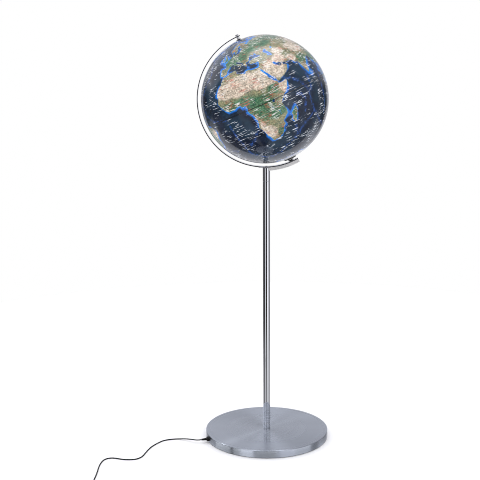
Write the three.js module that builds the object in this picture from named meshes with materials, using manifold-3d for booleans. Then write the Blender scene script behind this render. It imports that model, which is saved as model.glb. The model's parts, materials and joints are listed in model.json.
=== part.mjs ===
// Illuminated floor globe: a 400 mm globe on a tilted half-meridian strip, carried by a slim
// post on a weighted round base, with its mains lead, cord switch and plug.
// Millimetres, +Z up. The origin is the centre of the base's underside, on the post's axis.
// The globe's axis leans towards -X, in the XZ plane.

import * as THREE from 'three';
import { mergeVertices } from 'three/addons/utils/BufferGeometryUtils.js';
import Module from 'manifold-3d';

// ---------------------------------------------------------------- driving dimensions

const GAP = 0.3;                         // clearance between pieces that touch

const GLOBE_RADIUS = 200;
const GLOBE_WALL = 2.5;
const GLOBE_CENTRE = new THREE.Vector3(-4.7, 0, 1108.3);
const AXIS_TILT_DEGREES = 23.5;
const AXIS_TILT = THREE.MathUtils.degToRad(AXIS_TILT_DEGREES);
const NORTH_HOLE_RADIUS = 6;
const SOUTH_HOLE_RADIUS = 17;

const STRIP_INNER_RADIUS = 209.6;        // measured from the globe's centre
const STRIP_THICKNESS = 3;
const STRIP_WIDTH = 22;
const STRIP_NORTH_OVERHANG = 2.3;        // degrees past the north pole
const STRIP_SOUTH_OVERHANG = 6;          // degrees past the south pole
const STRIP_OUTER_RADIUS = STRIP_INNER_RADIUS + STRIP_THICKNESS;
const STRIP_SCREW_OFFSET = 6.4;          // the two screws into the post's head, along Y
const NORTH_ANGLE = 90 + AXIS_TILT_DEGREES;      // from +X towards +Z, in degrees
const SOUTH_ANGLE = NORTH_ANGLE + 180;

const DUCT_OUTER_RADIUS = 223.2;         // measured from the globe's centre
const DUCT_WIDTH = 20;
const DUCT_WALL = 1.5;
const DUCT_START = 273;                  // degrees, just beside the post's head
const DUCT_END = SOUTH_ANGLE + STRIP_SOUTH_OVERHANG;
const DUCT_SCREW_ANGLE = SOUTH_ANGLE + 4;
const TONGUE_START = 264.6;              // the duct's tongue between the head and the strip
const TONGUE_THICKNESS = 1.2;
const LEAD_ROUTE_RADIUS = 219.5;         // the lead's distance from the globe's centre

const BASE_RADIUS = 201;
const BASE_HEIGHT = 25.5;
const BASE_WALL = 1.5;
const PAD_RADIUS = 194;
const PAD_THICKNESS = 1.5;
const PLATE_RADIUS = 198.8;
const PLATE_BOTTOM = PAD_THICKNESS + GAP;
const PLATE_TOP = PLATE_BOTTOM + 3;
const WEIGHT_RADIUS = 158;
const WEIGHT_BOTTOM = PLATE_TOP + GAP;
const WEIGHT_TOP = BASE_HEIGHT - BASE_WALL - GAP;
const WEIGHT_RECESS_RADIUS = 22;         // the weight's underside recess, round the foot nut
const WEIGHT_RECESS_TOP = 16.5;
const RIM_ROUNDING = 2;
const COVER_BOTTOM = 2;
const PLATE_SCREW_CIRCLE = 130;
const PLATE_SCREW_COUNT = 3;
const CHANNEL_HALF_WIDTH = 5;            // the lead's channel, from the recess to the rim
const CLAMP_DISTANCE = 125;              // from the post's axis
const CLAMP_SCREW_OFFSET = 11;
const CLAMP_BOTTOM = 8;
const CLAMP_TOP = 10.1;

const POST_RADIUS = 11.5;
const POST_BORE = 10.4;
const FOOT_BOTTOM = 9.4;
const FOOT_COLLAR_TOP = 44;
const FOOT_THREAD_RADIUS = 9;
const CENTRE_HOLE_RADIUS = FOOT_THREAD_RADIUS + 0.4;     // in the weight and the cover
const FOOT_BORE = 6;
const FOOT_SPIGOT_TOP = 80;
const FOOT_NUT_TOP = 14;
const SPIGOT_RADIUS = POST_BORE - 0.4;   // of the foot and the head, inside the tube
const HEAD_JOINT = 851.7;
const HEAD_RADIUS = 11.7;
const HEAD_TOP = 893.8;
const HEAD_BORE = 3.7;
const HEAD_SPIGOT_BOTTOM = 815;
const HEAD_BORE_TOP = 891.8;
const LEAD_WINDOW_HEIGHT = 888.6;        // where the lead leaves the head sideways

const LEAD_RADIUS = 1.8;                 // the lead inside the stand
const CORD_RADIUS = 1.85;                // the free mains cord
const CORD_FLOOR = CORD_RADIUS + 0.1;    // height of its centre where it lies on the floor
const GLAND_HEIGHT = 12.5;
const GLAND_AZIMUTH = THREE.MathUtils.degToRad(-160.5);
const GLAND_TIP = 226;                   // distance of the gland's tip from the post's axis

const SWITCH_X = -518;
const SWITCH_START = -436;               // the end nearer the globe
const SWITCH_LENGTH = 62;
const SWITCH_END = SWITCH_START - SWITCH_LENGTH;
const SWITCH_WIDTH = 26;
const SWITCH_SPLIT = 9;                  // height of the joint between base and cover
const SWITCH_TOP = 18;
const SWITCH_CORNER = 11;
const SWITCH_SOFTENING = 1.2;
const ROCKER_AXIS_HEIGHT = 16.6;
const ROCKER_WIDTH = 11.4;
const ROCKER_REST_TILT = THREE.MathUtils.degToRad(6);
const COIL_X = -459;
const COIL_Y = -474;
const COIL_INNER = 15;
const COIL_OUTER = 26.5;
const COIL_TOP = 15.2;
const TURN_RADIUS = COIL_OUTER - CORD_RADIUS - 0.15;     // the outermost turn's centreline
const TOP_TURN = COIL_TOP - CORD_RADIUS - 0.1;           // height of the uppermost turns
const PLUG_START = -412;                 // the plug's cord end, on X
const PLUG_Y = COIL_Y + TURN_RADIUS;
const PLUG_LENGTH = 36;
const PLUG_WIDTH = 35;
const PLUG_HEIGHT = 13.8;
const PIN_SPACING = 18.6;
const PIN_LENGTH = 19;

const RIM_SIDES = 60;                    // sides of the base's large discs
const WEIGHT_SIDES = 40;
const ROUND = 24;                        // sides of a middle-sized turned piece
const SMALL_ROUND = 12;                  // sides of a screw

// ---------------------------------------------------------------- materials

const finish = (color, roughness, metalness) =>
  new THREE.MeshStandardMaterial({ color, roughness, metalness });

const chrome = finish(0xd9dde2, 0.08, 1);
const brushedSteel = finish(0xb4bac3, 0.35, 1);
const zincSteel = finish(0xa8abb0, 0.45, 1);
const castIron = finish(0x3c3f43, 0.8, 0.6);
const brass = finish(0xb89a55, 0.35, 1);
const blackPlastic = finish(0x141416, 0.45, 0);
const blackRubber = finish(0x1b1b1d, 0.85, 0);
const whitePlastic = finish(0xe9e8e4, 0.5, 0);
const globeSkin = finish(0x16283e, 0.18, 0);
const opalPlastic = finish(0xf4f2ea, 0.55, 0);

// ---------------------------------------------------------------- solids by boolean cuts

const wasm = await Module();
wasm.setup();

function toSolid(geometry) {
  const bare = geometry.clone();
  bare.deleteAttribute('normal');
  bare.deleteAttribute('uv');
  const merged = mergeVertices(bare, 1e-4);
  const index = merged.index.array;
  const faces = [];
  for (let i = 0; i < index.length; i += 3) {
    const [a, b, c] = [index[i], index[i + 1], index[i + 2]];
    if (a !== b && b !== c && c !== a) faces.push(a, b, c);
  }
  return new wasm.Manifold(new wasm.Mesh({
    numProp: 3,
    vertProperties: new Float32Array(merged.attributes.position.array),
    triVerts: new Uint32Array(faces),
  }));
}

function toGeometry(solid) {
  const mesh = solid.getMesh();
  const geometry = new THREE.BufferGeometry();
  geometry.setAttribute('position', new THREE.BufferAttribute(mesh.vertProperties, 3));
  geometry.setIndex(new THREE.BufferAttribute(mesh.triVerts, 1));
  geometry.computeVertexNormals();
  return geometry;
}

function cut(geometry, ...tools) {
  let solid = toSolid(geometry);
  for (const tool of tools) solid = solid.subtract(toSolid(tool));
  return toGeometry(solid);
}

function join(geometry, ...others) {
  let solid = toSolid(geometry);
  for (const other of others) solid = solid.add(toSolid(other));
  return toGeometry(solid);
}

// ---------------------------------------------------------------- shape helpers

// A turned solid about Z. The profile is a list of [radius, z], going up on the outside;
// one that doesn't start on the axis is closed onto its first point.
function turned(profile, sides = ROUND) {
  const points = profile.map(([radius, z]) => new THREE.Vector2(radius, z));
  if (profile[0][0] > 0) points.push(points[0].clone());
  return new THREE.LatheGeometry(points, sides).rotateX(Math.PI / 2);
}

const rod = (radius, bottom, top, sides = SMALL_ROUND) =>
  turned([[0, bottom], [radius, bottom], [radius, top], [0, top]], sides);

const sleeve = (bore, radius, bottom, top, sides = ROUND) =>
  turned([[bore, bottom], [radius, bottom], [radius, top], [bore, top]], sides);

function hexNut(circumradius, bore, bottom, top) {
  const outline = new THREE.Shape();
  for (let side = 0; side < 6; side++) {
    const angle = side * Math.PI / 3;
    const corner = [circumradius * Math.cos(angle), circumradius * Math.sin(angle)];
    if (side === 0) outline.moveTo(...corner);
    else outline.lineTo(...corner);
  }
  outline.closePath();
  const hole = new THREE.Path();
  hole.absarc(0, 0, bore, 0, 2 * Math.PI, true);
  outline.holes.push(hole);
  const options = { depth: top - bottom, bevelEnabled: false, curveSegments: 12 };
  return new THREE.ExtrudeGeometry(outline, options).translate(0, 0, bottom);
}

const block = (low, high) => {
  const size = new THREE.Vector3().subVectors(high, low);
  const middle = new THREE.Vector3().addVectors(low, high).multiplyScalar(0.5);
  return new THREE.BoxGeometry(size.x, size.y, size.z).translate(middle.x, middle.y, middle.z);
};

// A curved bar in the XZ plane around the origin, from one angle to another (degrees from +X
// towards +Z), centred on Y.
function curvedBar(inner, outer, fromDegrees, toDegrees, width) {
  const from = THREE.MathUtils.degToRad(fromDegrees);
  const to = THREE.MathUtils.degToRad(toDegrees);
  const outline = new THREE.Shape();
  outline.absarc(0, 0, outer, from, to, false);
  outline.absarc(0, 0, inner, to, from, true);
  const curveSegments = Math.max(2, Math.ceil((toDegrees - fromDegrees) / 4));
  const options = { depth: width, bevelEnabled: false, curveSegments };
  const bar = new THREE.ExtrudeGeometry(outline, options);
  return bar.translate(0, 0, -width / 2).rotateX(Math.PI / 2);
}

// A rounded block: a round-cornered outline with softened top and bottom edges, standing on
// `bottom`, long along Y.
function roundedBlock(width, length, bottom, top, corner, soften) {
  const [w, l, r] = [width / 2 - soften, length / 2 - soften, corner - soften];
  const outline = new THREE.Shape();
  outline.absarc(w - r, l - r, r, 0, Math.PI / 2, false);
  outline.absarc(-w + r, l - r, r, Math.PI / 2, Math.PI, false);
  outline.absarc(-w + r, -l + r, r, Math.PI, 1.5 * Math.PI, false);
  outline.absarc(w - r, -l + r, r, 1.5 * Math.PI, 2 * Math.PI, false);
  const options = {
    depth: top - bottom - 2 * soften, curveSegments: 4,
    bevelThickness: soften, bevelSize: soften, bevelSegments: 1,
  };
  return new THREE.ExtrudeGeometry(outline, options).translate(0, 0, bottom + soften);
}

// A path with straight stretches and round corners, sampled only where it bends.
class RoutedPath extends THREE.Curve {
  constructor(corners, bendRadius, bendSteps = 5) {
    super();
    this.points = [corners[0].clone()];
    for (let i = 1; i < corners.length - 1; i++) {
      const back = new THREE.Vector3().subVectors(corners[i - 1], corners[i]).normalize();
      const ahead = new THREE.Vector3().subVectors(corners[i + 1], corners[i]).normalize();
      const halfAngle = back.angleTo(ahead) / 2;
      const toMiddle = new THREE.Vector3().addVectors(back, ahead).normalize();
      const centre = corners[i].clone().addScaledVector(toMiddle, bendRadius / Math.sin(halfAngle));
      const reach = bendRadius / Math.tan(halfAngle);
      const start = corners[i].clone().addScaledVector(back, reach).sub(centre);
      const end = corners[i].clone().addScaledVector(ahead, reach).sub(centre);
      const turn = start.angleTo(end);
      for (let step = 0; step <= bendSteps; step++) {
        const part = step / bendSteps;
        const point = start.clone().multiplyScalar(Math.sin((1 - part) * turn))
          .addScaledVector(end, Math.sin(part * turn)).divideScalar(Math.sin(turn));
        this.points.push(point.add(centre));
      }
    }
    this.points.push(corners[corners.length - 1].clone());
    this.steps = this.points.length - 1;
  }

  getPoint(t, target = new THREE.Vector3()) {
    const place = Math.min(Math.max(t, 0), 1) * this.steps;
    const index = Math.min(Math.floor(place), this.steps - 1);
    return target.lerpVectors(this.points[index], this.points[index + 1], place - index);
  }

  getPointAt(u, target) {
    return this.getPoint(u, target);
  }

  getTangentAt(u, target = new THREE.Vector3()) {
    const index = Math.round(u * this.steps);
    target.set(0, 0, 0);
    for (const first of [index - 1, index]) {
      if (first < 0 || first >= this.steps) continue;
      const along = new THREE.Vector3().subVectors(this.points[first + 1], this.points[first]);
      target.add(along.normalize());
    }
    return target.normalize();
  }
}

function tube(path, radius, steps, sides = 8) {
  const section = new THREE.Shape();
  for (let side = 0; side < sides; side++) {
    const angle = (side + 0.5) * 2 * Math.PI / sides;
    const corner = [radius * Math.cos(angle), radius * Math.sin(angle)];
    if (side === 0) section.moveTo(...corner);
    else section.lineTo(...corner);
  }
  section.closePath();
  return new THREE.ExtrudeGeometry(section, { steps, extrudePath: path, bevelEnabled: false });
}

// ---------------------------------------------------------------- scene frames

const model = new THREE.Group();
const arm = new THREE.Group();           // at the globe's centre, upright
arm.position.copy(GLOBE_CENTRE);
model.add(arm);
const axis = new THREE.Group();          // at the globe's centre, +Z along the globe's axis
axis.rotation.y = -AXIS_TILT;
arm.add(axis);
const gland = new THREE.Group();         // +Z outwards along the cord gland
gland.position.set(0, 0, GLAND_HEIGHT);
gland.rotation.set(0, Math.PI / 2, GLAND_AZIMUTH, 'ZYX');
model.add(gland);

const axisMatrix = new THREE.Matrix4().makeRotationY(-AXIS_TILT);
gland.updateMatrix();

function add(parent, name, geometry, material) {
  const mesh = new THREE.Mesh(geometry, material);
  mesh.name = name;
  parent.add(mesh);
  return mesh;
}

// ---------------------------------------------------------------- base

const plateScrewPlaces = Array.from({ length: PLATE_SCREW_COUNT }, (_, i) => {
  const angle = (i + 0.5) * 2 * Math.PI / PLATE_SCREW_COUNT;
  return [PLATE_SCREW_CIRCLE * Math.cos(angle), PLATE_SCREW_CIRCLE * Math.sin(angle)];
});

function makeBase() {
  add(model, 'base_pad', rod(PAD_RADIUS, 0, PAD_THICKNESS, RIM_SIDES), blackRubber);

  const countersinks = plateScrewPlaces.map(([x, y]) => turned([
    [0, PLATE_BOTTOM - 0.5], [5.3, PLATE_BOTTOM - 0.5], [5, PLATE_BOTTOM],
    [2.6, PLATE_TOP - 0.4], [2.6, PLATE_TOP + 1], [0, PLATE_TOP + 1],
  ], SMALL_ROUND).translate(x, y, 0));
  const plate = rod(PLATE_RADIUS, PLATE_BOTTOM, PLATE_TOP, RIM_SIDES);
  add(model, 'base_plate', cut(plate, ...countersinks), zincSteel);

  const inwards = new THREE.Matrix4().makeRotationZ(GLAND_AZIMUTH);
  const channel = block(
    new THREE.Vector3(10, -CHANNEL_HALF_WIDTH, WEIGHT_BOTTOM - 1),
    new THREE.Vector3(WEIGHT_RADIUS + 5, CHANNEL_HALF_WIDTH, WEIGHT_RECESS_TOP),
  ).applyMatrix4(inwards);
  const clampSeat = block(
    new THREE.Vector3(CLAMP_DISTANCE - 6, -16, WEIGHT_BOTTOM - 1),
    new THREE.Vector3(CLAMP_DISTANCE + 6, 16, CLAMP_TOP + GAP),
  ).applyMatrix4(inwards);
  const clampHoles = [-1, 1].map((side) => rod(1.8, 9, 19)
    .translate(CLAMP_DISTANCE, side * CLAMP_SCREW_OFFSET, 0).applyMatrix4(inwards));
  const plateHoles = plateScrewPlaces.map(([x, y]) => rod(2.5, 4, 15).translate(x, y, 0));
  const weight = turned([
    [WEIGHT_RECESS_RADIUS, WEIGHT_BOTTOM], [WEIGHT_RADIUS, WEIGHT_BOTTOM],
    [WEIGHT_RADIUS, WEIGHT_TOP], [CENTRE_HOLE_RADIUS, WEIGHT_TOP],
    [CENTRE_HOLE_RADIUS, WEIGHT_RECESS_TOP], [WEIGHT_RECESS_RADIUS, WEIGHT_RECESS_TOP],
  ], WEIGHT_SIDES);
  const weightCuts = [channel, clampSeat, ...clampHoles, ...plateHoles];
  add(model, 'base_weight', cut(weight, ...weightCuts), castIron);

  const rim = [];
  for (let step = 0; step <= 2; step++) {
    const angle = step * Math.PI / 4;
    rim.push([BASE_RADIUS - RIM_ROUNDING * (1 - Math.cos(angle)),
      BASE_HEIGHT - RIM_ROUNDING * (1 - Math.sin(angle))]);
  }
  const insideRadius = BASE_RADIUS - BASE_WALL;
  const insideTop = BASE_HEIGHT - BASE_WALL;
  const cover = turned([
    [insideRadius, COVER_BOTTOM], [BASE_RADIUS, COVER_BOTTOM], ...rim,
    [CENTRE_HOLE_RADIUS, BASE_HEIGHT], [CENTRE_HOLE_RADIUS, insideTop], [insideRadius, insideTop],
  ], RIM_SIDES);
  const glandHole = rod(5.7, 190, 210).applyMatrix4(gland.matrix);
  add(model, 'base_cover', cut(cover, glandHole), brushedSteel);

  plateScrewPlaces.forEach(([x, y], i) => {
    const screw = add(model, `plate_screw_${i + 1}`, turned([
      [0, PLATE_BOTTOM + 0.1], [4.5, PLATE_BOTTOM + 0.1], [2.1, PLATE_TOP - 0.5],
      [2.1, 14], [0, 14],
    ], SMALL_ROUND), zincSteel);
    screw.position.set(x, y, 0);
  });

  const clamp = new THREE.Group();
  clamp.rotation.z = GLAND_AZIMUTH;
  model.add(clamp);
  const barHoles = [-1, 1].map((side) => rod(1.9, 7, 11)
    .translate(CLAMP_DISTANCE, side * CLAMP_SCREW_OFFSET, 0));
  const bar = block(
    new THREE.Vector3(CLAMP_DISTANCE - 4.5, -15, CLAMP_BOTTOM),
    new THREE.Vector3(CLAMP_DISTANCE + 4.5, 15, CLAMP_TOP),
  );
  add(clamp, 'cord_clamp', cut(bar, ...barHoles), zincSteel);
  [-1, 1].forEach((side, i) => {
    const screw = add(clamp, `clamp_screw_${i + 1}`, turned([
      [0, CLAMP_BOTTOM - 2.3], [3.3, CLAMP_BOTTOM - 2.3], [3.3, CLAMP_BOTTOM - GAP],
      [1.5, CLAMP_BOTTOM - GAP], [1.5, 18], [0, 18],
    ], SMALL_ROUND), zincSteel);
    screw.position.set(CLAMP_DISTANCE, side * CLAMP_SCREW_OFFSET, 0);
  });

  add(gland, 'cord_gland', turned([
    [2.4, 191], [5.2, 191], [5.2, BASE_RADIUS + GAP], [7.8, BASE_RADIUS + GAP],
    [7.8, 206.3], [6.4, 207.5], [4.3, 208.2], [2.9, GLAND_TIP], [2.4, GLAND_TIP],
  ], 20), blackRubber);
  add(gland, 'gland_nut', hexNut(7.4, 5.6, 194.9, 198.8), blackPlastic);
}

// ---------------------------------------------------------------- post

function makePost() {
  add(model, 'post_foot', turned([
    [FOOT_BORE, FOOT_BOTTOM], [FOOT_THREAD_RADIUS, FOOT_BOTTOM],
    [FOOT_THREAD_RADIUS, BASE_HEIGHT + GAP], [POST_RADIUS, BASE_HEIGHT + GAP],
    [POST_RADIUS, FOOT_COLLAR_TOP], [SPIGOT_RADIUS, FOOT_COLLAR_TOP],
    [SPIGOT_RADIUS, FOOT_SPIGOT_TOP], [FOOT_BORE, FOOT_SPIGOT_TOP],
  ]), chrome);
  const nutBore = FOOT_THREAD_RADIUS + GAP;
  const washerTop = WEIGHT_RECESS_TOP - GAP;
  add(model, 'foot_washer', sleeve(nutBore, 17, FOOT_NUT_TOP + GAP, washerTop), zincSteel);
  add(model, 'foot_nut', hexNut(14, nutBore, FOOT_BOTTOM + 0.2, FOOT_NUT_TOP), zincSteel);
  add(model, 'post_tube', sleeve(POST_BORE, POST_RADIUS, FOOT_COLLAR_TOP + GAP, HEAD_JOINT - GAP),
    chrome);

  const head = turned([
    [HEAD_BORE, HEAD_SPIGOT_BOTTOM], [SPIGOT_RADIUS, HEAD_SPIGOT_BOTTOM],
    [SPIGOT_RADIUS, HEAD_JOINT], [HEAD_RADIUS, HEAD_JOINT], [HEAD_RADIUS, HEAD_TOP],
    [0, HEAD_TOP], [0, HEAD_BORE_TOP], [HEAD_BORE, HEAD_BORE_TOP],
  ]);
  const leadWindow = rod(3.2, 0, 14).rotateY(Math.PI / 2).translate(0, 0, LEAD_WINDOW_HEIGHT);
  const screwHoles = [-1, 1].map((side) => rod(2, HEAD_TOP - 11.8, HEAD_TOP + 1.2)
    .translate(0, side * STRIP_SCREW_OFFSET, 0));
  add(model, 'post_head', cut(head, leadWindow, ...screwHoles), chrome);
}

// ---------------------------------------------------------------- meridian strip and duct

// A countersunk screw along -Z, with its head's top face at the origin.
const countersunkScrew = (head, shank, length) => turned([
  [0, -length], [shank, -length], [shank, -2.1], [head, -0.15], [0, -0.15],
], SMALL_ROUND);

const countersink = (head, shank) => turned([
  [0, -6], [shank, -6], [shank, -2.3], [head, 0], [head, 1], [0, 1],
], SMALL_ROUND);

// The direction from the globe's centre at an angle in the XZ plane, as a matrix whose +Z
// points back at the centre, at a distance from it.
function onStrip(angleDegrees, distance) {
  const angle = THREE.MathUtils.degToRad(angleDegrees);
  const matrix = new THREE.Matrix4().makeRotationY(-Math.PI / 2 - angle);
  return matrix.setPosition(distance * Math.cos(angle), 0, distance * Math.sin(angle));
}

function makeStrip() {
  const postX = -GLOBE_CENTRE.x;
  const seat = -Math.sqrt(STRIP_INNER_RADIUS ** 2 - postX ** 2);
  const headSinks = [-1, 1].map((side) => countersink(4.2, 2.1)
    .translate(postX, side * STRIP_SCREW_OFFSET, seat));
  const strip = curvedBar(STRIP_INNER_RADIUS, STRIP_OUTER_RADIUS,
    NORTH_ANGLE - STRIP_NORTH_OVERHANG, DUCT_END, STRIP_WIDTH);
  add(arm, 'meridian_strip', cut(strip,
    rod(2.8, 200, 220).applyMatrix4(axisMatrix),
    rod(5.4, -220, -200, 24).applyMatrix4(axisMatrix),
    ...headSinks,
    countersink(3.3, 1.7).applyMatrix4(onStrip(DUCT_SCREW_ANGLE, STRIP_INNER_RADIUS))), chrome);

  [-1, 1].forEach((side, i) => {
    const screw = add(arm, `strip_screw_${i + 1}`, countersunkScrew(3.7, 1.6, 15.5), zincSteel);
    screw.position.set(postX, side * STRIP_SCREW_OFFSET, seat);
  });

  const under = STRIP_OUTER_RADIUS + GAP;
  const shell = curvedBar(under, DUCT_OUTER_RADIUS, DUCT_START, DUCT_END, DUCT_WIDTH);
  const hollow = curvedBar(STRIP_OUTER_RADIUS - 4, DUCT_OUTER_RADIUS - DUCT_WALL,
    DUCT_START - 2, DUCT_SCREW_ANGLE - 1.1, DUCT_WIDTH - 2 * DUCT_WALL);
  const tongue = curvedBar(under, under + TONGUE_THICKNESS, TONGUE_START, DUCT_START + 2,
    DUCT_WIDTH - 2);
  const postWell = rod(HEAD_RADIUS + GAP, -260, -214.15, ROUND).translate(postX, 0, 0);
  const tongueHoles = [-1, 1].map((side) => rod(2.1, -220, -205)
    .translate(postX, side * STRIP_SCREW_OFFSET, 0));
  const tapped = rod(1.7, -12, 4).applyMatrix4(onStrip(DUCT_SCREW_ANGLE, STRIP_INNER_RADIUS));
  const duct = join(cut(shell, hollow, postWell), tongue);
  add(arm, 'lead_duct', cut(duct, ...tongueHoles, tapped), brushedSteel);
  const ductScrew = add(arm, 'duct_screw', countersunkScrew(2.8, 1.3, 10.5), zincSteel);
  ductScrew.applyMatrix4(onStrip(DUCT_SCREW_ANGLE, STRIP_INNER_RADIUS));
}

// ---------------------------------------------------------------- pole fittings and lamp

function makeFittings() {
  add(axis, 'north_pin', rod(2.5, 190, 216), chrome);
  add(axis, 'north_spacer', sleeve(2.8, 4.5, 202.2, STRIP_INNER_RADIUS - GAP, 20), chrome);
  add(axis, 'north_cap_nut', turned([
    [2.8, STRIP_OUTER_RADIUS + GAP], [4.8, STRIP_OUTER_RADIUS + GAP], [4.8, 217.4],
    [4.2, 218], [0, 218], [0, 216.4], [2.8, 216.4],
  ], 20), chrome);

  add(axis, 'south_stem', sleeve(3.2, 5, -216.9, -74, 24), chrome);
  add(axis, 'stem_nut', hexNut(8, 5.3, -216.5, -STRIP_OUTER_RADIUS - GAP), zincSteel);
  add(axis, 'stem_locknut', hexNut(8.6, 5.3, -209, -204.9), chrome);
  add(axis, 'thrust_washer', sleeve(5.4, 9, -204.6, -202.8, 24), whitePlastic);

  add(axis, 'lamp_holder', turned([
    [5.3, -84], [14, -84], [14, -36], [8.5, -36], [8.5, -64], [2.3, -64], [2.3, -70],
    [5.3, -70],
  ]), whitePlastic);
  add(axis, 'holder_contact', turned([
    [0, -69.6], [1.9, -69.6], [1.9, -63.6], [4, -63.6], [4, -62.8], [0, -62.8],
  ], SMALL_ROUND), brass);
  add(axis, 'bulb_cap', turned([
    [0, -62.4], [2.6, -62.4], [5.5, -60.5], [6.9, -58], [6.9, -36], [0, -36],
  ], 24), zincSteel);
  add(axis, 'bulb_body', turned([
    [0, -35.7], [8, -35.7], [12, -32], [21, -17], [22.5, -12], [0, -12],
  ], 24), whitePlastic);
  const dome = [];
  for (let step = 0; step <= 4; step++) {
    const angle = step * Math.PI / 8;
    dome.push([22.5 * Math.cos(angle), -11.7 + 24 * Math.sin(angle)]);
  }
  const domeInside = dome.slice(0, -1).map(([radius, z]) => [radius - 1.6, z]).reverse();
  add(axis, 'bulb_dome', turned([
    ...dome.slice(0, -1), [0, 12.3], [0, 10.7], ...domeInside,
  ], 24), opalPlastic);
}

// ---------------------------------------------------------------- globe

const GLOBE_SIDES = 32;
const GLOBE_STEPS = 8;

// A half shell from the equator seam to a pole hole; the southern half is the northern one
// mirrored, with its profile reversed so that it still goes up on the outside.
function halfShell(holeRadius, side) {
  const arc = (radius) => {
    const last = Math.acos(holeRadius / radius);
    const first = Math.asin(GAP / 2 / radius);
    return Array.from({ length: GLOBE_STEPS + 1 }, (_, i) => {
      const latitude = first + (last - first) * i / GLOBE_STEPS;
      return [radius * Math.cos(latitude), side * radius * Math.sin(latitude)];
    });
  };
  const outside = arc(GLOBE_RADIUS);
  const inside = arc(GLOBE_RADIUS - GLOBE_WALL);
  const profile = [...outside, ...inside.reverse()];
  return turned(side > 0 ? profile : profile.reverse(), GLOBE_SIDES);
}

function makeGlobe() {
  add(axis, 'globe_north', halfShell(NORTH_HOLE_RADIUS, 1), globeSkin);
  add(axis, 'globe_south', halfShell(SOUTH_HOLE_RADIUS, -1), globeSkin);
  add(axis, 'equator_band', sleeve(194.3, 196.4, -8, 8, GLOBE_SIDES), whitePlastic);
  add(axis, 'north_bush', turned([
    [2.9, 192], [5.6, 192], [5.6, 200.3], [8, 200.3], [8, 201.9], [2.9, 201.9],
  ], 24), blackPlastic);
  add(axis, 'south_collar', turned([
    [5.4, -202.4], [19.6, -202.4], [20.5, -201.6], [20.5, -199.7], [16.4, -199.7],
    [16.4, -190], [5.4, -190],
  ]), blackPlastic);
}

// ---------------------------------------------------------------- lead inside the stand

function makeInnerLead() {
  const outwards = new THREE.Vector3(Math.cos(GLAND_AZIMUTH), Math.sin(GLAND_AZIMUTH), 0);
  const inBase = (distance, z) => outwards.clone().multiplyScalar(distance).setZ(z);
  const inDuct = (angleDegrees, distance) => new THREE.Vector3()
    .setFromMatrixPosition(onStrip(angleDegrees, distance)).add(GLOBE_CENTRE);
  const alongAxis = (z) => new THREE.Vector3(0, 0, z).applyMatrix4(axisMatrix).add(GLOBE_CENTRE);
  const corners = [
    inBase(GLAND_TIP - GAP, GLAND_HEIGHT), inBase(120, GLAND_HEIGHT), inBase(60, 7.3),
    new THREE.Vector3(0, 0, 7.3), new THREE.Vector3(0, 0, 888.4),
    inDuct(275.4, 219.3), inDuct(281, LEAD_ROUTE_RADIUS), inDuct(287, LEAD_ROUTE_RADIUS),
    inDuct(293.5, LEAD_ROUTE_RADIUS), alongAxis(-71),
  ];
  const path = new RoutedPath(corners, 4.5);
  add(model, 'inner_lead', tube(path, LEAD_RADIUS, path.steps), whitePlastic);
}

// ---------------------------------------------------------------- free cord, switch, plug

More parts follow.
